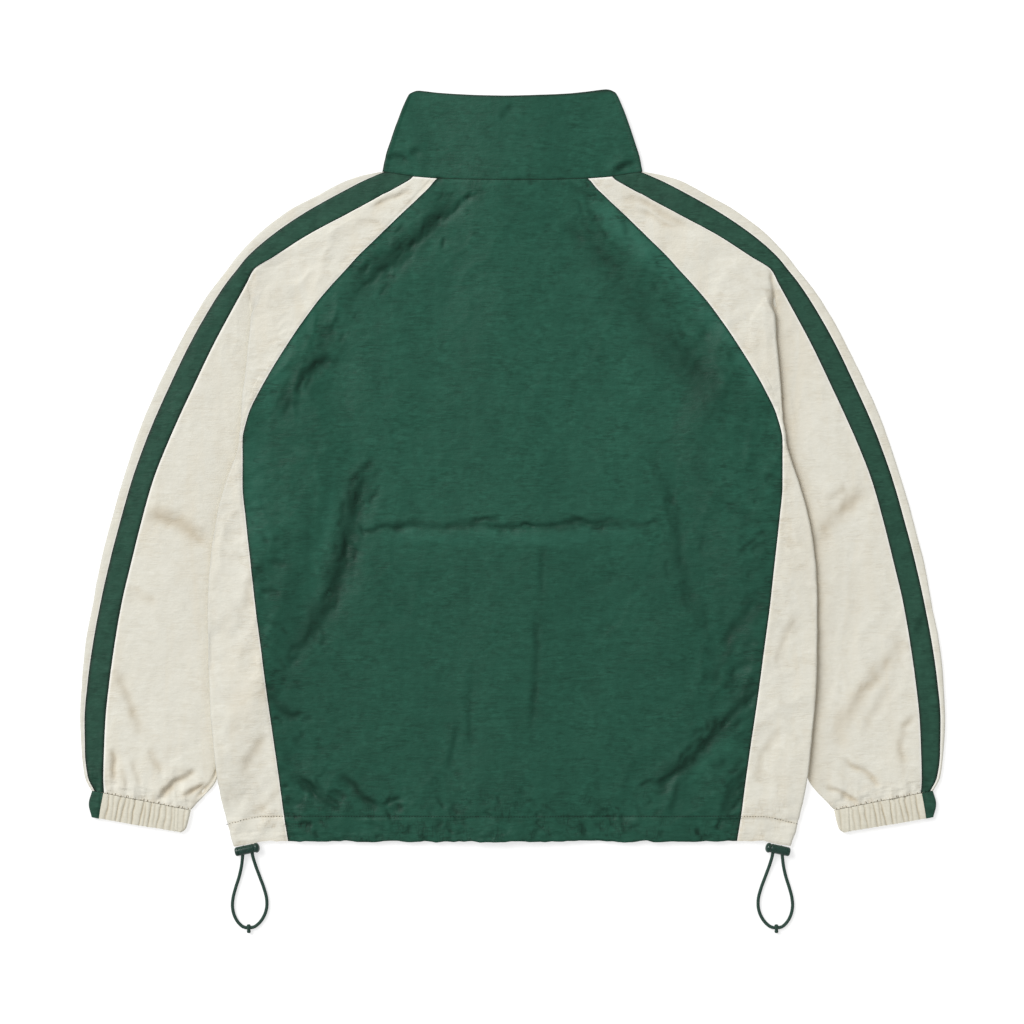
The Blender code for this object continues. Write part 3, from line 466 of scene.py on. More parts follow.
BODY_CREASES = (
    (0.9, 0.9, 8, ((-34, 694), (-64, 673), (-101, 637), (-127, 611), (-160, 592))),
    (0.9, 0.4, 12, ((-52, 690), (-98, 644), (-150, 600), (-190, 556))),
    (0.7, 0.4, 5, ((-205, 538), (-194, 544), (-184, 545))),
    (1.3, 0.7, 6, ((-229, 488), (-208, 504), (-186, 512))),
    (0.7, 0.4, 5, ((-240, 463), (-223, 467))),
    (
        *(1.0, 0.9, 8),
        ((-143, 410), (-162, 371), (-174, 327), (-180, 290), (-199, 245), (-213, 216), (-242, 188)),
    ),
    (0.9, 0.4, 13, ((-150, 404), (-170, 350), (-182, 290), (-206, 236))),
    (0.0, 0.7, 3.6, ((-156, 336), (-110, 334), (-42, 334), (20, 335), (69, 337), (114, 340), (170, 334))),
    (0.1, 0.9, 3.5, ((-44, 335), (0, 335), (40, 337), (78, 338))),
    (0.0, -0.5, 7, ((-150, 325), (-40, 324), (60, 327), (150, 326))),
    (0.25, 0.6, 4, ((33, 320), (29, 284), (29, 256))),
    (0.3, 0.7, 4, ((28, 262), (24, 200), (22, 150), (21, 96))),
    (0.4, 0.4, 5, ((62, 271), (84, 275), (112, 288), (130, 293))),
    (0.9, 0.3, 13, ((150, 558), (188, 504), (228, 462))),
    (0.7, 0.4, 6, ((136, 423), (166, 371), (173, 305), (188, 254), (200, 214))),
    (0.6, 0.4, 5, ((203, 371), (232, 356), (266, 334))),
    (0.9, 0.5, 5, ((260, 262), (232, 230), (216, 206))),
    (0.7, 0.4, 4.5, ((253, 194), (238, 186), (225, 175))),
    (1.3, 0.7, 5, ((256, 162), (225, 134), (206, 110), (188, 90), (158, 68), (130, 60))),
    (1.1, 0.6, 4.5, ((248, 84), (232, 60), (224, 40), (216, 20))),
    (0.8, 0.4, 4, ((174, 70), (169, 52), (166, 32))),
    (1.0, 0.6, 5, ((-266, 166), (-248, 148), (-234, 135), (-216, 138))),
    (1.1, 0.6, 5, ((-226, 78), (-205, 53), (-184, 36))),
    (1.4, 0.8, 5, ((-182, 77), (-160, 57), (-136, 36))),
    (1.0, 0.6, 4, ((-136, 38), (-127, 48), (-116, 53))),
    (0.5, 0.4, 5, ((-42, 203), (-46, 140), (-45, 80))),
    (0.6, 0.4, 4, ((-56, 136), (-62, 104), (-69, 73))),
    (0.8, 0.5, 5, ((58, 692), (76, 684), (98, 673))),
    (0.9, 0.5, 6, ((52, 656), (66, 644), (78, 632))),
    (0.6, 0.3, 6, ((78, 634), (98, 618), (118, 602))),
    (0, -0.9, 8, ((112, 640), (150, 607), (192, 566))),
    (0.8, 0.4, 5, ((-258, 122), (-280, 86), (-287, 66))),
    (0.6, 0.3, 5, ((-262, 300), (-276, 270), (-280, 240))),
    (0.5, 0.2, 4, ((-240, 62), (-262, 40), (-282, 30))),
    (0.6, 0.3, 5, ((282, 128), (262, 90), (256, 60))),
    (0.5, 0.2, 5, ((300, 250), (284, 214), (276, 180))),
    (1.2, 0.7, 3.5, ((-136, 719), (-127, 724), (-117, 724), (-107, 718))),
    (0.8, 0.4, 4, ((-108, 728), (-100, 732), (-91, 729))),
    (1.6, 0.9, 4, ((107, 702), (110, 710), (118, 716), (132, 721))),
    (0.6, 0.4, 5, ((-13, 760), (-6, 770), (2, 782))),
    (0.9, 0.9, 4, ((-152, 668), (-128, 679), (-102, 689))),
    (0.5, 0.5, 4, ((-168, 652), (-150, 655), (-134, 651))),
    (0.9, 0.9, 5, ((112, 684), (140, 675), (162, 663), (190, 646))),
    (0.5, 0.6, 3.5, ((118, 671), (146, 661), (168, 650), (184, 652))),
)
ARM_CREASES = (
    (1.5, 0.7, 9, ((-392, 338), (-372, 348), (-352, 340), (-334, 326), (-314, 311))),
    (0.6, 0.4, 5, ((-386, 350), (-374, 344), (-364, 335))),
    (0.5, 0.2, 6, ((-408, 269), (-389, 261), (-368, 254))),
    (0.8, 0.4, 6, ((-419, 194), (-404, 147), (-388, 104))),
    (1.3, 0.9, 3.5, ((-418, 102), (-419, 84), (-420, 62))),
    (0.6, 0.4, 3.5, ((-431, 84), (-428, 70), (-426, 58))),
    (0.6, 0.4, 3.5, ((-410, 80), (-408, 68), (-405, 58))),
    (0.6, 0.3, 5, ((-384, 100), (-377, 88), (-370, 74))),
    (2.2, 1.3, 5, ((-332, 82), (-344, 74), (-359, 64), (-377, 42))),
    (1.4, 0.8, 4, ((-321, 67), (-334, 57), (-350, 45))),
    (0.7, 1.2, 2.5, ((-311, 92), (-317, 67), (-328, 52), (-340, 37))),
    (0.6, 1.1, 2.5, ((-348, 74), (-362, 60), (-380, 40))),
    (0.5, 0.3, 4, ((-401, 90), (-396, 76), (-388, 58))),
    (1.2, 0.4, 9, ((378, 380), (354, 358), (334, 340), (304, 310))),
    (0.6, 0.3, 5, ((356, 378), (342, 366), (326, 360))),
    (0.9, 0.32, 9, ((420, 228), (394, 196), (366, 164), (348, 130), (332, 88))),
    (0.4, 0.15, 7, ((400, 170), (376, 138), (362, 108))),
    (1.1, 1.3, 3, ((348, 92), (369, 77), (388, 60))),
    (0.8, 0.4, 5, ((430, 146), (411, 123), (409, 96), (412, 66))),
    (1.3, 1.4, 3, ((322, 62), (341, 57), (356, 49), (368, 42))),
    (0.6, 0.3, 5, ((440, 260), (428, 236), (420, 214))),
    (-0.7, 0.9, 2.4, ((-272, 610), (-273.5, 588), (-275, 562))),
    (-0.4, 0.9, 2.4, ((-276, 584), (-279, 592), (-284, 578))),
    (0.8, 1.4, 2.4, ((271.5, 608), (273.5, 588), (276, 562), (277, 546))),
)
BODY_PAINTED_LIGHT = (  # painted light (above 0) or painted shade (below 0) along a line, and the line's width
    (0.42, 12, ((69, 686), (128, 640), (173, 595), (232, 528), (268, 462))),
    (-0.26, 15, ((58, 655), (106, 608), (143, 549), (180, 497), (228, 430))),
    (0.25, 12, ((-150, 640), (-185, 606), (-242, 512), (-266, 440))),
    (-0.32, 8, ((-58, 684), (-86, 655), (-110, 630), (-154, 596))),
    (-0.25, 8, ((-184, 545), (-212, 502), (-242, 462))),
    (-0.34, 11, ((-147, 402), (-171, 360), (-178, 305), (-193, 262), (-212, 227), (-240, 188))),
    (0.2, 9, ((-190, 380), (-200, 310), (-222, 250))),
    (0.25, 12, ((-271, 440), (-266, 300))),
    (-0.28, 4, ((-156, 338), (-42, 337), (60, 339), (168, 338))),
    (0.2, 7, ((-150, 325), (-40, 323), (60, 325), (150, 326))),
    (-0.1, 3.5, ((29, 314), (25, 210), (21, 100))),
    (-0.12, 8, ((140, 420), (168, 371), (176, 300), (200, 214))),
    (-0.3, 5, ((262, 262), (226, 208), (204, 172))),
    (-0.32, 7, ((262, 171), (226, 134), (190, 92), (136, 60))),
    (0.2, 6, ((250, 132), (214, 96), (180, 64))),
    (-0.25, 5, ((248, 84), (230, 50), (217, 10))),
    (-0.28, 5, ((-184, 77), (-162, 58), (-140, 38))),
    (-0.25, 5, ((-228, 82), (-206, 56), (-186, 38))),
    (-0.3, 5, ((-266, 166), (-236, 136), (-216, 138))),
)
UNDER_CREASES = (
    (1.5, 0.73, 8, ((60, 640), (100, 600), (150, 575))),
    (1.2, 0.62, 9, ((-200, 420), (-150, 360), (-120, 290))),
    (1, 0.52, 8, ((180, 300), (140, 250), (120, 190))),
    (0.83, 0.42, 7, ((-60, 560), (-90, 500), (-80, 440))),
    (0.94, 0.47, 7, ((90, 140), (140, 90), (170, 40))),
    (0.83, 0.42, 6, ((-190, 150), (-140, 110), (-100, 60))),
    (1.2, 0.62, 8, ((380, 300), (350, 250), (340, 200))),
    (1.2, 0.62, 8, ((-380, 330), (-345, 300), (-320, 290))),
    (0.83, 0.42, 6, ((410, 130), (380, 100), (370, 60))),
    (0.83, 0.42, 6, ((-420, 150), (-400, 110), (-390, 60))),
)


def small_crease(random, middle, angle, length, bend, depths, fall, widths):
    """A row for creases(): a short, slightly bent line about its middle."""
    along = np.array((math.cos(angle), math.sin(angle))) * length / 2
    across = np.array((-along[1], along[0])) * random.uniform(-bend, bend)
    points = tuple(map(tuple, (middle - along, middle + across, middle + along)))
    depth = random.uniform(*depths)
    return fall * depth, 0.4 * depth, random.uniform(*widths), points


def scattered(seed, count, start, end, spread, angles, lengths, depths):
    """Small creases at random places along a line."""
    random = np.random.default_rng(seed)
    level = abs(end[0] - start[0]) > abs(end[1] - start[1])
    rows = []
    for _ in range(count):
        t, away = random.uniform(), random.uniform(-1, 1) * spread
        middle = np.array([a + (b - a) * t for a, b in zip(start, end)]) + ((0, away) if level else (away, 0))
        angle, length = math.radians(random.uniform(*angles)), random.uniform(*lengths)
        rows.append(small_crease(random, middle, angle, length, 0.35, depths, 0.36, (2.2, 3.4)))
    return tuple(rows)


def strands(seed, count, line, spread, swing, lengths, depths):
    """Short creases side by side along a line, all within `swing` degrees of its direction."""
    random = np.random.default_rng(seed)
    line = np.array(line, float)
    steps = np.diff(line, axis=0)
    run = run_of(np.hypot(*steps.T))
    rows = []
    for _ in range(count):
        at = random.uniform(0, run[-1])
        k = min(int(np.searchsorted(run, at, side="right")) - 1, len(steps) - 1)
        direction = steps[k] / np.hypot(*steps[k])
        sideways = np.array((-direction[1], direction[0]))
        middle = line[k] + direction * (at - run[k]) + sideways * random.normal(0, spread)
        angle = math.atan2(direction[1], direction[0]) + math.radians(random.uniform(-swing, swing))
        length = random.uniform(*lengths)
        rows.append(small_crease(random, middle, angle, length, 0.2, depths, 0.42, (2.4, 3.6)))
    return tuple(rows)


SMALL_CREASES = (
    strands(
        *(221, 32, ((-40, 690), (-64, 675), (-101, 638), (-127, 608), (-156, 595))),
        *(9, 34, (10, 26), (0.5, 1.4)),
    )
    + strands(222, 30, ((-145, 401), (-164, 371), (-175, 327), (-179, 290)), 8, 26, (14, 32), (0.5, 1.4))
    + strands(223, 22, ((-179, 290), (-201, 245), (-212, 216), (-238, 193)), 8, 26, (14, 30), (0.5, 1.3))
    + strands(224, 26, ((-150, 335), (-34, 334), (69, 337), (168, 336)), 2.4, 12, (10, 40), (0.5, 1.3))
    + strands(225, 20, ((254, 160), (225, 134), (188, 90)), 7, 24, (12, 32), (0.7, 1.5))
    + strands(226, 14, ((188, 90), (158, 68), (132, 60)), 6, 22, (12, 30), (0.6, 1.4))
    + strands(227, 8, ((247, 82), (232, 60), (217, 23)), 5, 12, (12, 26), (0.6, 1.4))
    + strands(228, 8, ((-264, 164), (-234, 134), (-216, 138)), 5, 20, (10, 24), (0.5, 1.2))
    + strands(229, 12, ((-223, 75), (-186, 38)), 8, 16, (12, 26), (0.6, 1.5))
    + strands(230, 10, ((-240, 463), (-208, 504), (-180, 545)), 9, 22, (10, 26), (0.5, 1.3))
    + strands(231, 12, ((136, 423), (166, 371), (173, 305), (199, 216)), 9, 14, (16, 40), (0.3, 0.8))
    + strands(232, 10, ((60, 690), (80, 660), (117, 604)), 9, 26, (10, 26), (0.4, 1.0))
    + scattered(201, 44, (-232, 26), (232, 26), 24, (-78, -22), (8, 26), (0.5, 1.5))
    + scattered(202, 20, (-232, 24), (232, 24), 22, (15, 75), (8, 22), (0.5, 1.2))
    + scattered(203, 26, (-225, 40), (-262, 400), 14, (-55, 5), (8, 24), (0.5, 1.4))
    + scattered(204, 26, (225, 40), (262, 400), 14, (12, 62), (8, 26), (0.5, 1.4))
    + scattered(205, 12, (-244, 470), (-120, 636), 16, (25, 65), (8, 24), (0.4, 1.0))
    + scattered(206, 12, (244, 470), (100, 660), 16, (-70, -20), (8, 22), (0.4, 0.9))
    + scattered(207, 12, (-292, 40), (-300, 330), 14, (-40, 60), (8, 22), (0.3, 0.8))
    + scattered(208, 12, (292, 40), (300, 330), 14, (-60, 40), (8, 22), (0.3, 0.8))
    + scattered(209, 8, (-60, 700), (60, 700), 8, (-40, 40), (8, 20), (0.3, 0.7))
)


def painted_light_and_shade(x, y, rows, seed):
    """How much painted light (above 0) or painted shade (below 0) lies on the cloth: a little darker low down
    and towards the sides, and lighter or darker along the given lines.
    """
    warp_x, warp_y = warped(x, y, seed, 4, 9)
    total = -0.1 * ease((340 - y) / 60) - 0.06 * ease((np.abs(x) - 120) / 60)
    for strength, width, points in rows:
        distance, _, share = along_line(warp_x, warp_y, points)
        fade = ease(share / 0.15) * ease((1 - share) / 0.15)
        total = total + strength * fade * bell(distance, width)
    return total


# Of each side: crumples (height, size, direction in degrees, stretch, seed), soft lumps (height,
# width, length, seed) and puckers along its seams (reach, size, seed)
BODY_CRUMPLES = ((0.8, 30, 64, 2.4, 11), (0.5, 17, -40, 2.2, 15), (0.26, 9, 8, 2.2, 19))
BODY_LUMPS = ((1.3, 60, 90, 23), (0.3, 24, 18, 24), (0.09, 9, 5, 25))
BODY_PUCKERS = (14, 6, 31)
NECK_PUCKERS = (8, 6, 41)
ARM_CRUMPLES = ((0.45, 26, 78, 2.6, 66), (0.28, 14, 96, 2.0, 70))
ARM_LUMPS = ((0.8, 38, 120, 74), (0.12, 12, 9, 75))
STRIPE_PUCKERS = {"stripe_in": (8, 5, 81), "stripe_out": (8, 5, 86)}
UNDER_CRUMPLES = ((0.5, 28, 55, 2.2, 103), (0.3, 14, -40, 1.8, 107))
UNDER_PUCKERS = (12, 5.5, 111)

# Heights and depths of the cloth along its seams
BODY_PUCKER_HEIGHT = 0.55
NECK_PUCKER_HEIGHT = 0.3
STRIPE_PUCKER_HEIGHT = 0.25
UNDER_PUCKER_HEIGHT = 0.4
SIDE_SEAM_DEPTH = 0.35
SIDE_SEAM_RIDGE = 0.12
NECK_SEAM_DEPTH = 0.5
STRIPE_SEAM_DEPTH = 0.4
RAGLAN_ROLL = (1.7, -0.7)  # how far the green cloth stands up at the right raglan seam and the left
HEM_BULGE = 0.3
HEM_GROOVE = 0.15

# Shades: shares of the fold colour
SMALL_DARKNESS = 1.5
SMALL_SHADE_ON_CREAM = 0.4
STITCH_SHADE = 0.75
HEM_EDGE_SHADE = (1.0, 0.35)  # on the green and on the cream
TUCK_SHADE = (0.85, 0.2)  # of the right sleeve and the left where they go under the body
COLLAR_CREASING = 0.6


def busyness(x, y):
    """How crumpled the body is: least in the middle of the back and near the collar."""
    busy = 0.3 + 0.25 * cloud(x, y, 90, 110, 5) + 0.7 * ease((np.abs(x) - 110) / 130)
    busy = busy + 0.35 * ease((110 - y) / 70)
    return busy * (0.5 + 0.5 * ease((SHOULDER - y) / 60))


STITCH_LINE = ((0, 29.5), (238, 29.9), (264, 29.4), (275, 28.0), (298, 22.0), (306, 20.5))


def body_relief(x, y):
    """The upper side of the back, the side panels, the yoke and the collar."""
    u = np.abs(x)
    across, along = seam_frame(x, y, back_seam)
    high, shade = creases(x, y, BODY_CREASES, 1)
    small_high, small_shade = creases(x, y, SMALL_CREASES, 1, SMALL_DARKNESS)
    high += small_high + crumpled(x, y, BODY_CRUMPLES, BODY_LUMPS, busyness(x, y))
    shade = np.maximum(shade, small_shade * np.where(across > 0, SMALL_SHADE_ON_CREAM, 1))
    body = y < SHOULDER - 8
    raglan = ease((y - 470) / 80) * ease((SHOULDER - 12 - y) / 30) * ease(-across / 3)
    high += raglan * np.where(x > 0, *RAGLAN_ROLL) * fading(across, 15)
    gathers = puckers(across, along, *BODY_PUCKERS) * ease((SHOULDER - 20 - y) / 60)
    high += body * BODY_PUCKER_HEIGHT * gathers
    high += body * (SIDE_SEAM_RIDGE * bell(across - 3, 2.4) - SIDE_SEAM_DEPTH * bell(across, 1.4))
    neck = y - (SHOULDER - back_drop(u))
    neck_gathers = NECK_PUCKER_HEIGHT * puckers(neck, x, *NECK_PUCKERS)
    high += (u < NECK_HALF) * (neck_gathers - NECK_SEAM_DEPTH * bell(neck, 1.3))
    hem_high, hem_mask = hem_relief(x, y)
    shade = np.maximum(shade, STITCH_SHADE * bell(y - stitch_line(u), 0.8))
    above = np.abs(y - hem_edge(u) - hem_wave(x))
    shade = np.maximum(shade, np.where(across < 0, *HEM_EDGE_SHADE) * np.exp(-((above / 1.6) ** 1.5)))
    hem_mask = np.maximum(hem_mask, COLLAR_CREASING * (u < NECK_HALF) * fading(neck, 12))
    # Painted light and shade in bands on the green back
    tone_and_painted_light = painted_light_and_shade(x, y, BODY_PAINTED_LIGHT, 151) * body * (across < 0.5)
    return high + hem_high, shade, body * fading(across, 22), hem_mask, tone_and_painted_light


def stitch_line(u):
    """Height of the hem's stitches."""
    return np.interp(u, *zip(*STITCH_LINE))


def hem_wave(x):
    """How far the hem's edge wavers up and down."""
    return 1.0 * along_row(x, 13, 141) + 0.6 * along_row(x, 6, 142)


def hem_relief(x, y):
    """The hem's tunnel with its cord, drawn up into small gathers."""
    edge, line = hem_edge(np.abs(x)), stitch_line(np.abs(x))
    t = np.clip((y - edge) / (line - edge), 0, 1)
    bulge = HEM_BULGE * np.sin(math.pi * t) ** 0.7 * (y < line)
    gathers = cloud(x + 0.6 * y, y, 7.5, 40, 51) + 0.5 * cloud(x + 0.9 * y, y, 4.5, 24, 52)
    strength = 0.42 + 0.3 * along_row(x, 55, 53)
    fade = np.where(y > line, fading(y - line, 14), 0.8) * (y < 130)
    mask = np.where(y > line, fading(y - line, 26), 1.0)
    return bulge + strength * gathers * fade - HEM_GROOVE * bell(y - line, 1.2), mask


def arm_relief(x, y):
    """The upper side of the sleeves beyond the body's edge."""
    high, shade = creases(x, y, ARM_CREASES, 61)
    calm = 0.55 + 0.35 * cloud(x, y, 80, 120, 65)
    high += crumpled(x, y, ARM_CRUMPLES, ARM_LUMPS, calm)
    mask = np.zeros(np.shape(x))
    for line, kind in STRIPE_PUCKERS.items():
        across, along = seam_frame(x, y, SLEEVE[line])
        high += STRIPE_PUCKER_HEIGHT * puckers(across, along, *kind) - STRIPE_SEAM_DEPTH * bell(across, 1.3)
        mask = np.maximum(mask, fading(across, 12))
    # Painted shadow on the sleeve beside the body's folded edge, strong on the right and faint on the left
    beyond = np.clip(np.abs(x) - fold_edge(y), 0, None)
    tucked = (y < NOTCH - 20) * np.where(x > 0, *TUCK_SHADE)
    gather_high, gather_shade, gather_mask = cuff_gathers(x, y)
    shade = np.maximum(np.maximum(shade, tucked * fading(beyond, 8)), gather_shade)
    return high + gather_high, shade, 0.6 * mask, gather_mask, np.zeros(np.shape(x))


CUFF_EDGE = smooth_curve((338, 442.5), (36.0, 56.5))  # height of the sleeve's seam to the cuff at u
TICK_PITCH = 3.7  # between the small tucks at the cuff's seam


def cuff_gathers(x, y):
    """The sleeve drawn in by the elastic: gathers that fan out from the cuff's seam."""
    u = np.abs(x)
    above = y - CUFF_EDGE(u)
    fan = u + 0.12 * above * (u - 390) / 50
    ripple = cloud(fan, above, 6.5, 30, 91) + 0.5 * cloud(fan, above, 3.6, 14, 92)
    fold = 0.5 - np.abs(cloud(fan, above, 9, 45, 93)) * 1.6
    lean = u + 0.5 * above + 0.9 * along_row(u, 7, 95)
    above = np.clip(above, 0, None)
    near = (y < 140) * fading(above, 16 * (1 + 0.5 * along_row(x, 12, 94)))
    # The small tucks at the seam, pressed in and darkened with painted shade
    tick = np.exp(-(((lean % TICK_PITCH) - TICK_PITCH / 2) ** 2) / 0.6)
    tick = tick * (y < 140) * bell(above, 3.2 + 2.4 * along_row(u, 4, 96))
    return 1.1 * (ripple + fold) * near - 0.6 * tick, np.clip(0.85 * tick, 0, 1), fading(above, 20)


def under_relief(x, y):
    """The hidden lower side. It never stands below the surface that it rests on."""
    high, shade = creases(x, y, UNDER_CREASES, 101, 0.3)
    across, along = seam_frame(x, y, front_seam)
    high += crumpled(x, y, UNDER_CRUMPLES, ()) + UNDER_PUCKER_HEIGHT * puckers(across, along, *UNDER_PUCKERS)
    none = np.zeros(np.shape(x))
    return np.clip(high + 0.6, 0, None), shade, fading(across, 20), none, none


RELIEFS = ((body_relief, 1), (arm_relief, 1), (under_relief, -1))
BODY_SIDE, ARM_SIDE, UNDER_SIDE = np.eye(3)
HIDDEN = np.zeros(3)


# Sections: rows of (u, z, weights of the three reliefs), from the centre back outwards round the
# fold and back underneath


def stretch(places, heights, start, end=None):
    """A stretch of a section whose relief weights go from start to end."""
    end = start if end is None else end
    t = np.linspace(0, 1, len(places))[:, None]
    weights = np.asarray(start) * (1 - t) + np.asarray(end) * t
    return np.column_stack([places, np.broadcast_to(heights, np.shape(places)), weights])


def near_seams(count, width, first=True, last=True):
    """Shares of a width, with lines close to its seams so that they stay crisp."""
    offsets = (0.0, 0.5, 1.1, 2.0, 3.4)
    low = np.array(offsets if first else (0.0,)) / width
    high = 1 - np.array(offsets if last else (0.0,))[::-1] / width
    inner = np.linspace(low[-1], high[0], count - len(low) - len(high) + 2)[1:-1]
    return np.concatenate([low, inner, high])


def turn(apex, high, low, outwards, points):
    """A hairpin of cloth from one height to another, round the given side."""
    radius = (high - low) / 2
    angle = np.linspace(0, math.pi, points)
    u = apex + outwards * abs(radius) * (np.sin(angle) - 1)
    return u, high - radius * (1 - np.cos(angle))


def back_row(y, count):
    seam = float(back_seam(y))
    half = seam * near_seams(count, seam, first=False)
    u = np.concatenate([-half[:0:-1], half])
    return stretch(u, over_z(np.abs(u), y), BODY_SIDE)


def side_row(y):
    """The side panel: from the back seam round the side fold to the front seam."""
    fold, seam = float(BODY["fold"](y)), float(back_seam(y))
    high, low = float(over_z(fold, y)), float(under_z(fold, y))
    apex = fold - WALL / 2
    radius = (high - low) / 2
    upper = seam + (apex - radius - seam) * near_seams(26, max(apex - radius - seam, 8), last=False)
    upper = np.sort(upper)
    folds = turn(apex, high, low, 1, 9)
    under = np.linspace(apex - radius, float(front_seam(y)), 22)[1:]
    return np.concatenate(
        [
            stretch(upper[:-1], over_z(upper[:-1], y), BODY_SIDE),
            stretch(*folds, BODY_SIDE, UNDER_SIDE),
            stretch(under, under_z(under, y), UNDER_SIDE),
        ]
    )


PANEL_EDGE = 6.0  # how far each front panel ends from the middle
YOKE_COLUMNS = 44
PLEAT_TURN = 7
ARM_COLUMNS = 58
SLIVER_COLUMNS = 7
FOLD_TOP = 569.0  # above this height the pleat is a slope, and below FOLD_FULL it is a fold
FOLD_FULL = 557.0


def straight_between(row, y):
    """A section; where the slope turns into a fold, straight between the two."""
    if not FOLD_FULL < y < FOLD_TOP:
        return row(y)
    t = (FOLD_TOP - y) / (FOLD_TOP - FOLD_FULL)
    return (1 - t) * row(FOLD_TOP) + t * row(FOLD_FULL)


def sleeve_back_row(y):
    """From the raglan seam over the pleat to the stripe."""
    seam, end = float(back_seam(y)), float(SLEEVE["stripe_in"](y))
    edge = float(BODY["fold"](y))
    slope = float(PLEAT["slope"](y))
    high, low = float(over_z(edge, y)), float(sleeve_z(edge, y))
    across = np.linspace(0, 1, 2 * PLEAT_TURN)
    if y > NOTCH:
        share = ease((y - NOTCH) / 36)
        folds = seam + (end - seam) * (0.79 - 0.04 * share + (0.19 + 0.01 * share) * across)
        fold_z = over_z(folds, y)
        kinds = (BODY_SIDE, (0.3, 0.7, 0))
    elif slope > 0:
        last = edge - float(PLEAT["tuck"](y)) + slope
        folds = last - slope * (1 - across)
        fold_z = high + (low - high) * ease(across)
        kinds = (BODY_SIDE, ARM_SIDE)
    else:
        middle = FLOOR + 2 * PLY
        inside = edge - float(PLEAT["overhang"](y)) + WALL / 2 + PLEAT_CLEAR
        first = turn(edge - WALL / 2, high, middle, 1, PLEAT_TURN)
        second = turn(inside, middle, low, -1, PLEAT_TURN)
        folds = np.concatenate([first[0], second[0]])
        fold_z = np.concatenate([first[1], second[1]])
        kinds = (BODY_SIDE, HIDDEN)
    width = max(folds[0] - seam, 6.0)
    yoke = seam + (folds[0] - seam) * near_seams(YOKE_COLUMNS, width, last=False)
    arm = folds[-1] + (end - folds[-1]) * near_seams(ARM_COLUMNS, max(end - folds[-1], 12), first=False)[1:]
    yoke = np.sort(yoke)[:-1]
    return np.concatenate(
        [
            stretch(yoke, over_z(yoke, y), BODY_SIDE),
            stretch(folds, fold_z, *kinds),
            stretch(arm, sleeve_z(arm, y), kinds[1] if y > NOTCH else ARM_SIDE, ARM_SIDE),
        ]
    )


def lower_sleeve_back_row(y, low):
    """The arm columns of the section above, from the underarm seam. y is the row's height at the
    outer fold, and low its height at the inner fold."""
    start, end = float(UNDERARM["seam"](low)), float(SLEEVE["stripe_in"](y))
    arm = start + (end - start) * near_seams(ARM_COLUMNS, max(end - start, 12), first=False)
    return stretch(arm, sleeve_z(arm, (y + low) / 2), ARM_SIDE)


OUTER_TURN = 9
UNDER_COLUMNS = 26
FRONT_TURN = 5


def outer_fold_row(y, middle):
    """The sleeve's front piece from the stripe round the outer fold."""
    outer, start = float(SLEEVE["outer"](y)) - WALL / 2, float(SLEEVE["stripe_out"](y))
    top = FLOOR + SLEEVE_GAP
    folds = turn(outer, top, FLOOR, 1, OUTER_TURN)
    last = min(folds[0][0], outer - SLEEVE_GAP / 2)
    start = min(start, last - 0.8)
    sliver = start + (last - start) * np.linspace(0, 1, SLIVER_COLUMNS)[:-1]
    heights = sleeve_z(sliver, middle)
    return [stretch(sliver, heights, ARM_SIDE), stretch(*folds, ARM_SIDE, UNDER_SIDE)]


def sleeve_front_row(y):
    """From the stripe round the outer fold, under the sleeve and over the pleat to the raglan."""
    seam, outer = float(front_seam(y)), float(SLEEVE["outer"](y))
    edge, tuck, slope = (float(curve(y)) for curve in (BODY["fold"], PLEAT["tuck"], PLEAT["slope"]))
    high = FLOOR + 2 * PLY * float(PLEAT["climb"](y))
    across = np.linspace(0, 1, 2 * FRONT_TURN)
    kinds = (UNDER_SIDE, UNDER_SIDE)
    if y > NOTCH:
        folds = seam + (outer - seam) * (0.775 - 0.135 * across)
        fold_z = under_z(folds, y)
    elif slope > 0:
        last = edge - tuck - 4 + slope
        folds = last - slope * across
        fold_z = FLOOR + (high - FLOOR) * ease(across)
    else:
        near = turn(edge - tuck + WALL / 2, FLOOR, FLOOR + PLY, -1, FRONT_TURN)
        apex = edge - float(PLEAT["overhang"](y)) - WALL / 2 - PLEAT_CLEAR
        far = turn(apex, FLOOR + PLY, high, 1, FRONT_TURN)
        folds = np.concatenate([near[0], far[0]])
        fold_z = np.concatenate([near[1], far[1]])
        kinds = (HIDDEN, HIDDEN)
    start = outer - WALL / 2 - SLEEVE_GAP / 2
    flat = np.linspace(start, folds[0], UNDER_COLUMNS + 2)[1:-1]
    body = np.linspace(folds[-1], seam, 9)[1:]
    return np.concatenate(
        outer_fold_row(y, y)
        + [
            stretch(flat, FLOOR, UNDER_SIDE),
            stretch(folds, fold_z, *kinds),
            stretch(body, under_z(body, y), UNDER_SIDE),
        ]
    )


def lower_sleeve_front_row(y, low):
    """The same columns as far as the inner fold, then a flap that ends on the underarm seam."""
    middle = (y + low) / 2
    fold, outer = float(UNDERARM["fold"](low)), float(SLEEVE["outer"](y))
    top = float(sleeve_z(fold, middle))
    folds = turn(fold + WALL / 2, FLOOR, top, -1, FRONT_TURN)
    flat = np.linspace(outer - WALL / 2 - SLEEVE_GAP / 2, folds[0][0], UNDER_COLUMNS + 2)[1:-1]
    flap = np.linspace(folds[0][-1], float(UNDERARM["seam"](low)), 7)[1:]
    return np.concatenate(
        outer_fold_row(y, middle)
        + [
            stretch(flat, FLOOR, UNDER_SIDE),
            stretch(*folds, HIDDEN, ARM_SIDE),
            stretch(flap, sleeve_z(flap, middle), ARM_SIDE),
        ]
    )


def stripe_row(y, low=None):
    start, end = float(SLEEVE["stripe_in"](y)), float(SLEEVE["stripe_out"](y))
    u = start + (end - start) * near_seams(19, max(end - start, 9.0))
    return stretch(u, sleeve_z(u, y if low is None else (y + low) / 2), ARM_SIDE)


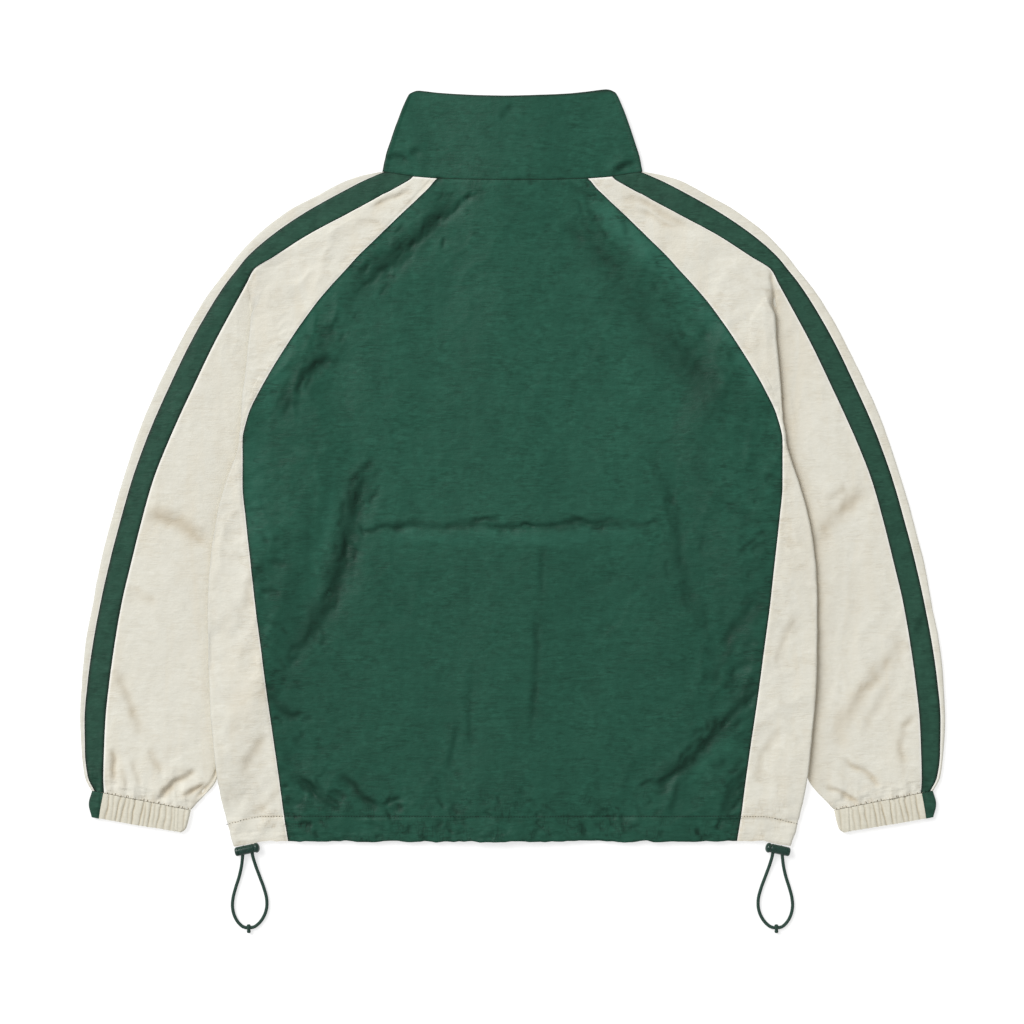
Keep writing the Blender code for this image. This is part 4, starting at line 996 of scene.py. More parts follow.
def front_row(y, count):
    u = np.linspace(float(front_seam(y)), PANEL_EDGE, count)
    return stretch(u, under_z(u, y), UNDER_SIDE)


# Meshes


def in_frame(points):
    """Millimetres from the hem to the frame's metres."""
    return (np.asarray(points, float) - (0, MIDDLE_Y, 0)) * MILLIMETRE


def heights_between(*stops):
    """Row heights from the first stop down to the last. A stop is (height, spacing after it)."""
    rows = []
    for (high, step), (low, _) in zip(stops, stops[1:]):
        rows.extend(np.linspace(high, low, max(2, math.ceil((high - low) / step) + 1))[:-1])
    return rows + [stops[-1][0]]


def new_object(name, mesh, material, body="garment"):
    mesh.materials.append(material)
    made = bpy.data.objects.new(name, mesh)
    bpy.context.collection.objects.link(made)
    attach(made, body)
    return made


def relief_of(points, weights):
    """(height, painted crease shade, side puckers, hem puckers, painted light and shade) of the cloth at
    each point. The height is measured outwards: the lower side's dents are inwards."""
    total = np.zeros((*points.shape[:-1], 5))
    for k, (field, outwards) in enumerate(RELIEFS):
        share = weights[..., k]
        used = np.abs(share) > 1e-6
        if used.any():
            x, y = points[used][:, 0], points[used][:, 1]
            values = np.stack(field(x, y), axis=-1) * (outwards, 1, 1, 1, 1)
            total[used] += share[used][:, None] * values
    return total


def shell(
    name, grid, side, material, coarse=1, kept=None, wall=SHELL, edge=0, shade=None, gathered=1.0
):
    """A thin closed shell from a grid of (u, y, z, three weights). Its inner side has one line
    for each `coarse` lines of its outer side."""
    points = grid[..., :3] * (side, 1, 1)
    rows, columns = points.shape[:2]
    normal = np.cross(np.gradient(points, axis=0), np.gradient(points, axis=1)) * side
    normal = normal / np.maximum(np.linalg.norm(normal, axis=-1, keepdims=True), 1e-9)
    relief = relief_of(points, grid[..., 3:6])
    raised = relief[..., :1]
    outer = points + normal * (raised + wall / 2)
    inner = (points + normal * (raised - wall / 2))[::coarse, ::coarse]
    outer[..., 2] = np.maximum(outer[..., 2], LOWEST_OUTER)
    inner[..., 2] = np.maximum(inner[..., 2], LOWEST_INNER)
    verts = in_frame(np.concatenate([outer.reshape(-1, 3), inner.reshape(-1, 3)]))
    wide = inner.shape[1]
    first, last = np.array(kept or [(0, columns - 1)] * (rows - 1)).T[..., None]
    index = np.arange(columns - 1)[None, :]
    cells = (index >= first) & (index < last)
    r, c = np.nonzero(cells)
    at = r * columns + c
    quads = np.stack([at, at + columns, at + columns + 1, at + 1], axis=1)
    small = cells[::coarse, ::coarse][: inner.shape[0] - 1, : wide - 1]
    r, c = np.nonzero(small)
    at = rows * columns + r * wide + c
    inside = np.stack([at, at + 1, at + wide + 1, at + wide], axis=1)
    faces = quads.tolist() + inside.tolist() + rim_faces(small, rows, columns, wide, coarse)
    if side < 0:
        faces = [face[::-1] for face in faces]
    mesh = bpy.data.meshes.new(name)
    used = np.unique(np.concatenate([np.ravel(quads), np.ravel(inside)]))
    place = np.full(len(verts), -1)
    place[used] = np.arange(len(used))
    mesh.from_pydata(verts[used], [], [[int(place[v]) for v in face] for face in faces])
    mesh.validate()
    mesh.shade_smooth()
    mesh.set_sharp_from_angle(angle=math.radians(60))
    marks = relief[..., :4].copy()
    marks[..., 0] = edge
    if shade is not None:
        marks[..., 1] = shade
    # Painted shade on the rims: where the cloth turns down at a fold, and more where it faces the key light
    lit = np.clip(normal[..., :2] @ TOWARDS_WINDOW, 0, 1)
    rim = RIM_SHADE * (1 - np.abs(normal[..., 2])) + LIT_SHADE * lit**0.8
    layers = {"marks": marks, "tone_and_painted_light": relief[..., 4:], "rim": np.clip(rim, 0, 1)[..., None]}
    for layer_name, values in layers.items():
        size = values.shape[-1]
        both = np.concatenate([part.reshape(-1, size) for part in (values, values[::coarse, ::coarse])])
        kind, field = ("FLOAT_COLOR", "color") if size == 4 else ("FLOAT", "value")
        layer = mesh.attributes.new(layer_name, kind, "POINT")
        layer.data.foreach_set(field, both[used].astype(np.float32).reshape(-1))
    made = new_object(f"{name}_cloth", mesh, material)
    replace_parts(made, name)
    declare_cut(points, cells, gathered)
    return made


def declare_cut(points, cells, gathered):
    """Works out the piece's flat size and area from its form without the relief; nothing keeps them."""
    right, down = np.diff(points, axis=1), np.diff(points, axis=0)
    steps, drops = np.linalg.norm(right, axis=-1), np.linalg.norm(down, axis=-1)
    width = max((steps[:-1] * cells).sum(axis=1).max(), (steps[1:] * cells).sum(axis=1).max())
    halves = np.cross(right[:-1], down[:, :-1]), np.cross(right[1:], down[:, 1:])
    area = (sum(np.linalg.norm(half, axis=-1) for half in halves) * cells).sum() / 2
    width, area = width * gathered, area * gathered


def rim_faces(small, rows, columns, wide, coarse):
    """The faces between the outer side's border and the inner side's, whose cells are `small`."""
    faces = []
    filled = np.pad(small, 1)
    for r, c in zip(*np.nonzero(small)):
        corners = ((r, c), (r, c + 1), (r + 1, c + 1), (r + 1, c))
        beyond = ((r - 1, c), (r, c + 1), (r + 1, c), (r, c - 1))
        for k, (row, column) in enumerate(beyond):
            if filled[row + 1, column + 1]:
                continue
            (ra, ca), (rb, cb) = corners[k], corners[(k + 1) % 4]
            start, step = ra * columns + ca, (rb - ra) * columns + cb - ca
            edge = [start * coarse + step * i for i in range(coarse + 1)]
            faces.append(edge + [rows * columns + r * wide + c for r, c in ((rb, cb), (ra, ca))])
    return faces


def grid_of(sections, ys):
    """Sections and the height of each of their points, as one grid."""
    width = max(len(section) for section in sections)
    rows = []
    for section, y in zip(sections, ys):
        y = np.broadcast_to(y, len(section))
        row = np.column_stack([section[:, 0], y, section[:, 1:]])
        missing = width - len(row)
        rows.append(np.concatenate([np.repeat(row[:1], missing, axis=0), row]) if missing else row)
    return np.stack(rows)


def multiple(count, step):
    """The next number of grid lines for which the cells divide by step."""
    return math.ceil((count - 1) / step) * step + 1


COARSE = 4  # cells of the back's outer side to one of its inner side
SEAM_LINE = 0.95
UPPER_STOPS = ((SHOULDER, 0.8), (690, 1.3), (660, BODY_CELL), (ARMPIT, BODY_CELL))


def back_panel(material):
    ys = heights_between((SHOULDER, 2.4), (350, 1.4), (330, 2.4), (75, 1.3), (0, 1))
    ys = np.interp(np.linspace(0, 1, multiple(len(ys), COARSE)), np.linspace(0, 1, len(ys)), ys)
    half = multiple(283 / BODY_CELL, COARSE)
    half += (half - 1) % 2
    sections = [back_row(y, half) for y in ys]
    lines = [hem_line(y, section[:, 0]) for section, y in zip(sections, ys)]
    lines = [y - neck_share(y) * back_drop(np.abs(section[:, 0])) for section, y in zip(sections, lines)]
    grid = grid_of(sections, lines)
    seam = np.array([float(back_seam(y)) for y in ys])[:, None]
    # Painted shade along the back's seams
    mark = bell(seam - np.abs(grid[..., 0]), 1.7)
    return shell("back_panel", grid, 1, material, coarse=COARSE, edge=mark)


def hem_line(y, x):
    """A row's height at x: the lowest rows follow the hem's drooping, slightly wavy edge."""
    return y + hem_edge(np.abs(x)) * np.clip(1 - y / 60, 0, 1) + hem_wave(x) * np.clip(1 - y / 14, 0, 1)


STITCH_PITCH = 2.9
STITCH_LENGTH = 2.7
STITCH_RADIUS = 0.45


def hem_stitches(name, start, end, material):
    """The row of stitches that closes the hem's tunnel, half sunk into the cloth."""
    x = np.arange(start, end, STITCH_PITCH)
    ends = np.stack([x - STITCH_LENGTH / 2, x + STITCH_LENGTH / 2, x], axis=1)
    y = stitch_line(np.abs(ends)) + 0.25 * cloud(ends, ends * 0, 9, 9, 145)
    z = over_z(np.abs(ends), y) + body_relief(ends, y)[0] + SHELL / 2
    stitches(name, np.stack([ends, y, z - 0.25 * (ends != x[:, None])], axis=-1), STITCH_RADIUS, material)


def cuff_tuck_shade(name, side, material):
    """Small dark spindles that paint the shade in the tucks where the sleeve's cloth is drawn into the cuff's
    seam.
    """
    random = np.random.default_rng(147)
    u = np.arange(340.5, 432, TICK_PITCH)
    u = u + random.uniform(-0.8, 0.8, len(u))
    seam = CUFF_EDGE(u)
    reach, lean = random.uniform(1.0, 4.2, len(u)), random.uniform(0.1, 0.9, len(u))
    ends = np.stack([u, u - lean * reach, u - lean * reach / 2], axis=1)
    y = np.stack([seam - 0.6, seam + reach, seam + reach / 2], axis=1)
    z = sleeve_z(ends, y) + arm_relief(side * ends, y)[0] + SHELL / 2
    z[:, 0] = np.maximum(z[:, 0], CUFF_WALL / 2 + CUFF_GAP + 0.75)
    z[:, 1] -= 0.4
    stitches(name, np.stack([side * ends, y, z], axis=-1), 0.42, material)


def stitches(name, places, radius, material):
    """Short spindles, each from its first place to its second through its third."""
    steps = places[:, 1] - places[:, 0]
    across = np.stack([-steps[:, 1], steps[:, 0], steps[:, 2] * 0], axis=-1)
    across = across / np.linalg.norm(across, axis=1, keepdims=True)
    up = across * 0 + (0.0, 0.0, 1.0)
    offsets = radius * np.stack([across, up, -across, -up], axis=1)
    rings = places[:, 2:3] + offsets
    verts = np.concatenate([places[:, :2], rings], axis=1).reshape(-1, 3)
    faces = []
    for k in range(len(places)):
        for i in range(4):
            a, b = 6 * k + 2 + i, 6 * k + 2 + (i + 1) % 4
            faces += [[6 * k, a, b], [6 * k + 1, b, a]]
    mesh = bpy.data.meshes.new(name)
    mesh.from_pydata(in_frame(verts), [], faces)
    mesh.shade_smooth()
    return new_object(name, mesh, material)


def side_panel(word, side, material):
    ys = np.array(heights_between((ARMPIT, SLEEVE_CELL), (HEM_TURN, 1.6), (0, 1)))
    sections = [side_row(y) for y in ys]
    lines = [hem_line(y, side * section[:, 0]) for section, y in zip(sections, ys)]
    grid = grid_of(sections, lines)
    seam = np.array([float(back_seam(y)) for y in ys])[:, None]
    top = (np.arange(grid.shape[1]) < 34)[None, :]
    # Painted highlight along the side panel's seam to the back
    mark = bell(grid[..., 0] - seam, SEAM_LINE) * top
    return shell(f"side_panel_{word}", grid, side, material, edge=mark)


def sleeve_heights():
    upper = heights_between(*UPPER_STOPS)
    lower = heights_between((ARMPIT, SLEEVE_CELL), (110, 1.7), (76, 1.1), (CUFF_LINE, 1))[1:]
    return upper, lower


def slanted(section, y):
    """A lower sleeve row's heights: it falls from the outer fold to the inner."""
    fall = float(FALL["fall"](y))
    outer, inner = float(SLEEVE["outer"](y)), float(UNDERARM["fold"](y - fall))
    return y - fall * np.clip((outer - section[:, 0]) / (outer - inner), 0, 1)


def sleeve_piece(name, side, upper_row, lower_row, drop, material, marks, pad_end=False):
    upper, lower = sleeve_heights()
    sections = [straight_between(upper_row, y) for y in upper]
    lines = [y - neck_share(y) * drop(s[:, 0]) for s, y in zip(sections, upper)]
    wide = len(sections[0])
    low_sections = [lower_row(y, y - float(FALL["fall"](y))) for y in lower]
    low_lines = [slanted(s, y) for s, y in zip(low_sections, lower)]
    narrow = len(low_sections[0])
    if pad_end:
        low_sections = [np.concatenate([s, np.repeat(s[-1:], wide - narrow, axis=0)]) for s in low_sections]
        low_lines = [np.concatenate([y, np.repeat(y[-1:], wide - narrow)]) for y in low_lines]
        span = (0, narrow - 1)
    else:
        span = (wide - narrow, wide - 1)
    grid = grid_of(sections + low_sections, lines + low_lines)
    kept = [(0, wide - 1)] * (len(upper) - 1) + [span] * len(lower)
    heights = np.array(list(upper) + list(lower))[:, None]
    mark = marks(grid, heights)
    return shell(name, grid, side, material, kept=kept, edge=mark)


def sleeve_back(word, side, material):
    """The cream back part, with a painted highlight along the raglan seam, the stripe and the neck."""

    def marks(grid, y):
        inner = bell(grid[..., 0] - SLEEVE["stripe_in"](y), 1.5)
        raglan = bell(grid[..., 0] - back_seam(y), 1.3) * (y >= ARMPIT)
        neck = bell(SHOULDER - y, 1.6) * np.ones_like(grid[..., 0])
        return np.maximum(np.maximum(inner, raglan), neck)

    name = f"sleeve_back_{word}"
    return sleeve_piece(
        name, side, sleeve_back_row, lower_sleeve_back_row, back_drop, material, marks
    )


def sleeve_front(word, side, material):
    """The cream front part, seen as a sliver outside the stripe."""

    def marks(grid, y):
        # Painted highlight along the seam to the stripe
        top = (np.arange(grid.shape[1]) < SLIVER_COLUMNS)[None, :]
        return bell(grid[..., 0] - SLEEVE["stripe_out"](y), SEAM_LINE) * top

    def drop(u):
        share = np.arange(len(u)) > SLIVER_COLUMNS + OUTER_TURN // 2
        return np.where(share, front_drop(u), back_drop(u))

    name = f"sleeve_front_{word}"
    return sleeve_piece(
        name, side, sleeve_front_row, lower_sleeve_front_row, drop, material, marks, True
    )


def sleeve_stripe(word, side, material):
    """The green stripe, with painted shade along both seams."""

    def marks(grid, y):
        inner = bell(grid[..., 0] - SLEEVE["stripe_in"](y), 2.0)
        outer = bell(grid[..., 0] - SLEEVE["stripe_out"](y), 2.3)
        return np.maximum(inner, outer)

    name = f"sleeve_stripe_{word}"
    return sleeve_piece(name, side, stripe_row, stripe_row, back_drop, material, marks, True)


def front_panel(word, side, material):
    """A front panel, on the underside from the side seam to the zip."""
    ys = np.array(heights_between((SHOULDER, 4.0), (HEM_TURN, 2.5), (0, 1)))
    sections = [front_row(y, 64) for y in ys]
    lines = [hem_line(y, side * s[:, 0]) - neck_share(y) * front_drop(s[:, 0]) for s, y in zip(sections, ys)]
    return shell(f"front_{word}", grid_of(sections, lines), side, material)


def collar_row(share):
    """Half a ring of the collar: from the centre back round its side fold to the zip."""
    fold_y = SHOULDER + (COLLAR_TOP - COLLAR_CORNER - SHOULDER) * share
    fold = float(COLLAR["fold"](fold_y))
    scale = fold / (NECK_HALF + WALL / 2)
    high = FLOOR + COLLAR_FOLD_GAP
    folds = turn(fold - WALL / 2, high, FLOOR, 1, 9)
    back = np.linspace(0, folds[0][0], 57)[:-1]
    front = np.linspace(folds[0][-1], PANEL_EDGE, 41)[1:]
    u = np.concatenate([back, folds[0], front])
    behind = np.arange(len(u)) < len(back) + 5
    top = COLLAR_TOP + COLLAR_RISE - COLLAR_TOP_DIP * np.clip(1 - (u / (0.88 * fold)) ** 2, 0, 1)
    top = top - COLLAR_CORNER * np.clip((u - 0.9 * fold) / (0.1 * fold), 0, 1) ** 2
    low = SHOULDER - back_drop(u / scale)
    front_top = COLLAR_TOP - COLLAR_CORNER - COLLAR_FRONT_DROP * np.clip(1 - (u / fold) ** 2, 0, 1) ** 0.75
    front_low = SHOULDER - front_drop(u / scale)
    y = np.where(behind, low + (top - low) * share, front_low + (front_top - front_low) * share)
    back_z = over_z(back, SHOULDER) + (high - FLOOR - BODY_GAP) * ease((back - 60) / 50)
    section = np.concatenate(
        [
            stretch(back, back_z, BODY_SIDE),
            stretch(*folds, BODY_SIDE, UNDER_SIDE),
            stretch(front, FLOOR + zip_lift(front), UNDER_SIDE),
        ]
    )
    return section, y


COLLAR_HEIGHT = 84.0


def collar(material):
    """The stand collar, its upper edge rolled in."""
    rows = []
    shares = np.concatenate([[1.0, 0.994, 0.985, 0.97, 0.95], np.linspace(0.92, 0.02, 38), [0.01, 0.0]])
    for share in shares:
        section, y = collar_row(share)
        half = np.column_stack([section[:, 0], y, section[:, 1:]])
        if share > 0.965:
            turned_in = 1 - ((1 - share) * COLLAR_HEIGHT / 3.0 - 1) ** 2
            half[:, 2] -= 1.2 * (1 - math.sqrt(max(0.0, turned_in)))
        rows.append(np.concatenate([half[:0:-1] * (-1, 1, 1, 1, 1, 1), half]))
    grid = np.stack(rows)
    # Painted shade along the collar's top and bottom and its side folds
    ends = np.maximum(bell((1 - shares) * COLLAR_HEIGHT, 1.6), bell(shares * COLLAR_HEIGHT, 1.0))
    u = np.abs(grid[..., 0])
    mark = np.maximum(ends[:, None], 0.8 * bell(u.max(axis=1, keepdims=True) - u, 1.3))
    return shell("collar", grid, 1, material, edge=mark)


CUFF_FOLDS = (  # u of each gather at the seam, its lean towards the hand and its depth
    (434.0, 2, 0.5),
    (425.5, 3, 0.9),
    (419.5, 2, 0.4),
    (414.5, 3, 0.9),
    (409.0, 4, 0.8),
    (403.5, 2, 0.4),
    (398.5, 3, 1.0),
    (390.0, 4, 1.0),
    (386.5, 2, 0.6),
    (381.5, 3, 0.9),
    (376.5, 1, 0.4),
    (371.5, 3, 0.8),
    (365.0, 2, 0.6),
    (358.5, 2, 0.5),
    (345.0, 1, 0.5),
)
CUFF_SEAM = 352.0
CUFF_LINES = 29  # rows of the cuff's grid, from the sleeve to the hand
CUFF_TURN = 9  # points of each of its folds
CUFF_UNDER_STRIPE = 9.0  # how far the stripe's end reaches round the outer fold to the underside
CUFF_SHELL = 1.4
HAND_FLARE = 4.0  # how far the inner fold moves outwards at the hand's edge
STRIPE_GATHER = 1.1
CUFF_GATHER = 1.35  # the cuff's cloth before the elastic draws it in, for each length of it now


def cuff_relief(u, share, wobble):
    """(height, shade) of the cuff's gathers: puffed cloth between narrow folds."""
    high, shade = 0.55 * math.sin(math.pi * share) ** 0.6 + 0 * u, 0 * u
    for place, lean, depth in CUFF_FOLDS:
        distance = u - place - lean * (share - 0.5) * 1.6 - 0.7 * wobble
        high = high - depth * 0.8 * bell(distance, 1.1) + depth * 0.2 * bell(np.abs(distance) - 3, 1.8)
        shade = np.maximum(shade, depth * bell(distance, 0.95))
    seam = u - CUFF_SEAM - 1.2 * share
    high = high + 0.5 * bell(seam, 0.8) - 0.5 * bell(seam - 2, 0.9)
    return high, shade * (0.55 + 0.45 * math.sin(math.pi * share))


def cuff(word, side, cream, green):
    """The gathered elastic cuff and the green end of the stripe on it."""
    columns = [smooth_curve((0, 0.5, 1), [row[k] for row in CUFF_ROWS]) for k in range(5)]
    top, floor = CUFF_WALL / 2 + CUFF_GAP, CUFF_WALL / 2
    cream_rows, green_rows, cream_shade, green_shade = [], [], [], []
    for share in np.linspace(0, 1, CUFF_LINES):
        outer_u, outer_y, inner_u, inner_y, stripe_u = (float(column(share)) for column in columns)
        inner_u = inner_u + HAND_FLARE * (max(0.0, share - 0.8) / 0.2) ** 2
        inner = turn(inner_u + CUFF_WALL / 2, floor, top, -1, CUFF_TURN)
        outer = turn(outer_u - CUFF_WALL / 2, top, floor, 1, CUFF_TURN)
        under = outer_u - CUFF_UNDER_STRIPE
        parts = (
            (np.linspace(under, inner[0][0], 60), inner, np.linspace(inner[0][-1], stripe_u, 150)),
            (np.linspace(stripe_u, outer[0][0], 14), outer, np.linspace(outer[0][-1], under, 8)),
        )
        for k, (first, folds, last) in enumerate(parts):
            u = np.concatenate([first[:-1], folds[0], last[1:]])
            z = np.pad(folds[1], (len(first) - 1, len(last) - 1), mode="edge")
            wobble = cloud(u, share * 24 + 0 * u, 6, 9, 120 + side)
            high, shade = cuff_relief(u, share, wobble)
            upper = ease((z - floor) / (top - floor))
            z = z + high * upper + (1 - upper) * np.clip(0.5 - high, 0, 0.6)
            y = inner_y + (outer_y - inner_y) * (u - inner_u) / (outer_u - inner_u)
            y = y + (0.5 - share) * 1.1 * shade * (share > 0.5) + 0.3 * wobble * (share > 0.5)
            (cream_rows, green_rows)[k].append(np.column_stack([u, y, z, np.zeros((len(u), 3))]))
            (cream_shade, green_shade)[k].append(shade * upper)
    pieces = (
        (f"cuff_{word}", cream_rows, cream, "cream_elastic", cream_shade, CUFF_GATHER),
        (f"cuff_stripe_{word}", green_rows, green, "green_nylon", green_shade, STRIPE_GATHER),
    )
    for name, rows, material, slot, shades, gathered in pieces:
        shade = np.stack(shades)
        shell(name, np.stack(rows), side, material, wall=CUFF_SHELL, shade=shade, gathered=gathered)


# Zip, on the underside

TAPE_BOTTOM = 4.9
TAPE_THICK = 0.8
TAPE_INNER = 3.4
TAPE_OUTER = 17.0
TOOTH_PITCH = 1.55
TOOTH_LENGTH = 3.9
TOOTH_WIDTH = 0.95 * 0.82
TOOTH_REACH = 3.0
CHAIN_START = 17.3
CHAIN_END = 727.7
CHAIN_BOTTOM = 3.6
CHAIN_THICK = 2.3

# Half the tape's thickness across it, from the cord along its inner edge
TAPE_PROFILE = ((0, 0.3), (0.06, 0.5), (0.12, 0.3), (0.2, 0.28), (0.6, 0.28), (0.97, 0.28), (1, 0.1))


def zip_tape(word, side, material):
    """A woven tape with a thicker cord along its inner edge."""
    low, high = np.array(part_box(f"zip_tape_{word}")) / MILLIMETRE
    share, half = np.array(TAPE_PROFILE).T
    u = TAPE_INNER + (TAPE_OUTER - TAPE_INNER) * share
    z = TAPE_BOTTOM + TAPE_THICK / 2
    ring = np.column_stack([side * u, u * 0, z - half])
    over = np.column_stack([side * u, u * 0, z + half])
    ring = np.concatenate([ring, over[::-1]])
    ys = np.minimum(np.arange(low[1], high[1] + 2.9, 3.0), high[1]) + MIDDLE_Y
    rings = ring[None] + np.column_stack([ys * 0, ys, ys * 0])[:, None]
    made = lofted(f"zip_tape_{word}_woven", rings, material, smooth=False)
    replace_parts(made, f"zip_tape_{word}")


def zip_teeth(material):
    """The chain: one rounded tooth after another, from the left and the right in turn."""
    solid = bmesh.new()
    middle = CHAIN_BOTTOM + CHAIN_THICK / 2
    for k in range(int((CHAIN_END - CHAIN_START) / (TOOTH_PITCH / 2))):
        start = (1 if k % 2 else -1) * (TOOTH_REACH - TOOTH_LENGTH / 2)
        height = CHAIN_START + 0.6 + k * TOOTH_PITCH / 2 - MIDDLE_Y
        tooth = bmesh.ops.create_cone(solid, cap_ends=True, segments=6, radius1=0.5, radius2=0.5, depth=1.0)
        for vert in tooth["verts"]:
            wide, thick, long = vert.co
            place = (start + long * TOOTH_LENGTH, height + wide * TOOTH_WIDTH, middle + thick * CHAIN_THICK)
            vert.co = Vector(place) * MILLIMETRE
    bmesh.ops.recalc_face_normals(solid, faces=solid.faces)
    mesh = bpy.data.meshes.new("zip_teeth")
    solid.to_mesh(mesh)
    solid.free()
    mesh.shade_smooth()
    mesh.set_sharp_from_angle(angle=math.radians(50))
    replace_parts(new_object("zip_teeth", mesh, material), "zip_chain")


# Hem cords

CORD_RADIUS = 1.75
CORD_FLOOR = 1.81  # the lowest the cord's centre lies
BRAID_TURN = 1.9  # of the braid's threads, in a third of a radian a millimetre
LOCK_U = 279.0
LOCK_Y = -5.2
LOCK_Z = 4.9
LOCK_TILT = 12.0
LOCK_OUT = 13.0
LOCK_IN = 7.4
LOCK_RADIUS = 4.75
BUTTON_LENGTH = 6.0
BUTTON_RADIUS = 5.3
# (distance along the lock, how much thinner than its full radius)
LOCK_PROFILE = (
    *((0.0, 1.9), (0.25, 1.1), (0.8, 0.45), (1.6, 0.1), (2.6, 0), (3.4, 0), (3.6, 0.25), (3.9, 0.25)),
    *((4.1, 0), (LOCK_OUT + LOCK_IN - 1.2, 0), (LOCK_OUT + LOCK_IN - 0.5, 0.1), (LOCK_OUT + LOCK_IN, 0.4)),
)
KNOT = (277.5, -88.4, 2.6)
# (distance along the bead, radius)
KNOT_PROFILE = (
    *((0.0, 1.1), (0.3, 1.6), (1.2, 2.1), (2.4, 2.35), (4.2, 2.35), (5.4, 2.0), (5.8, 1.6), (6.2, 1.6)),
    *((6.6, 2.0), (8.2, 2.0), (8.9, 1.5), (9.1, 0.8)),
)
CORD_OUTER = (
    *((282.6, -0.9, 4.9), (283.0, -6.0, 4.9), (283.6, -11.5, 4.7), (284.9, -22.0, 3.0)),
    *((287.6, -34.0, 1.8), (291.2, -45.5, 1.85), (294.0, -56.5, 1.85), (294.6, -66.0, 1.85)),
    *((292.4, -75.5, 1.85), (287.4, -83.5, 1.9), (283.6, -86.6, 2.2), (281.0, -87.4, 2.5)),
    (278.6, -87.9, 2.6),
)
CORD_INNER = (
    *((274.0, 0.8, 4.9), (273.9, -5.0, 4.9), (273.4, -10.0, 4.7), (270.6, -21.0, 3.0)),
    *((266.0, -34.0, 1.8), (261.4, -46.5, 1.85), (258.6, -58.0, 1.85), (258.9, -68.0, 1.85)),
    *((262.6, -77.6, 1.85), (268.0, -84.2, 1.9), (271.4, -86.6, 2.2), (274.0, -87.4, 2.5)),
    (276.4, -87.9, 2.6),
)


def smooth_route(points, step):
    """Points at even steps on a smooth line through a route's points."""
    points = np.array(points, float)
    distance = run_of(np.linalg.norm(np.diff(points, axis=0), axis=1))
    slopes = np.gradient(points, distance, axis=0)
    at = np.linspace(0, distance[-1], int(distance[-1] / step) + 1)
    k = np.clip(np.searchsorted(distance, at) - 1, 0, len(distance) - 2)
    width = (distance[k + 1] - distance[k])[:, None]
    t = (at - distance[k])[:, None] / width
    line = cubic(t, width, points[k], points[k + 1], slopes[k], slopes[k + 1])
    line[:, 2] = np.maximum(line[:, 2], CORD_FLOOR)
    return line


def lofted(name, rings, material, sharp=None, smooth=True):
    """A closed piece through rings of points. Edges over `sharp` degrees stay crisp."""
    count, sides = rings.shape[:2]
    at = np.arange((count - 1) * sides).reshape(-1, sides)
    beside = np.roll(at, -1, axis=1)
    faces = np.stack([at, at + sides, beside + sides, beside], axis=-1).reshape(-1, 4).tolist()
    faces += [list(range(sides)), list(range((count - 1) * sides, count * sides))]
    mesh = bpy.data.meshes.new(name)
    mesh.from_pydata(in_frame(rings.reshape(-1, 3)), [], faces)
    solid = bmesh.new()
    solid.from_mesh(mesh)
    bmesh.ops.recalc_face_normals(solid, faces=solid.faces)
    solid.to_mesh(mesh)
    solid.free()
    if smooth:
        mesh.shade_smooth()
    if sharp:
        mesh.set_sharp_from_angle(angle=math.radians(sharp))
    return new_object(name, mesh, material)


def rings_about(centres, direction, reach):
    """Rings square to a direction, or to one for each centre. reach is (rings, sides)."""
    direction = direction / np.linalg.norm(direction, axis=-1, keepdims=True)
    across = np.cross(direction, (0, 0, 1.0))
    across /= np.linalg.norm(across, axis=-1, keepdims=True)
    third = np.cross(across, direction)
    angle = np.linspace(0, 2 * math.pi, reach.shape[1], endpoint=False)[:, None]
    ring = across[..., None, :] * np.cos(angle) + third[..., None, :] * np.sin(angle)
    return centres[:, None, :] + ring * reach[..., None]


def braided_tube(name, line, radius, sides, material, braid):
    """A round tube along a line, with a braided surface and rounded ends."""
    run = run_of(np.linalg.norm(np.diff(line, axis=0), axis=1))[:, None]
    angle = 3 * np.linspace(0, 2 * math.pi, sides, endpoint=False)[None, :]
    weave = np.cos(angle + run * BRAID_TURN) * np.cos(angle - run * BRAID_TURN)
    ends = np.clip(np.minimum(run, run[-1] - run) / radius, 0, 1)
    reach = radius * (1.03 - braid + braid * weave) * np.sqrt(1 - (1 - ends) ** 2 * 0.9)
    return lofted(name, rings_about(line, np.gradient(line, axis=0), reach), material)


def turned_piece(name, profile, start, axis, material, sides=40):
    """A round piece from (distance along its axis, radius) points."""
    axis = np.array(axis, float) / np.linalg.norm(axis)
    along, radius = np.array(profile).T
    centres = np.array(start) + axis * along[:, None]
    rings = rings_about(centres, axis, np.repeat(radius[:, None], sides, axis=1))
    return lofted(name, rings, material, sharp=40)


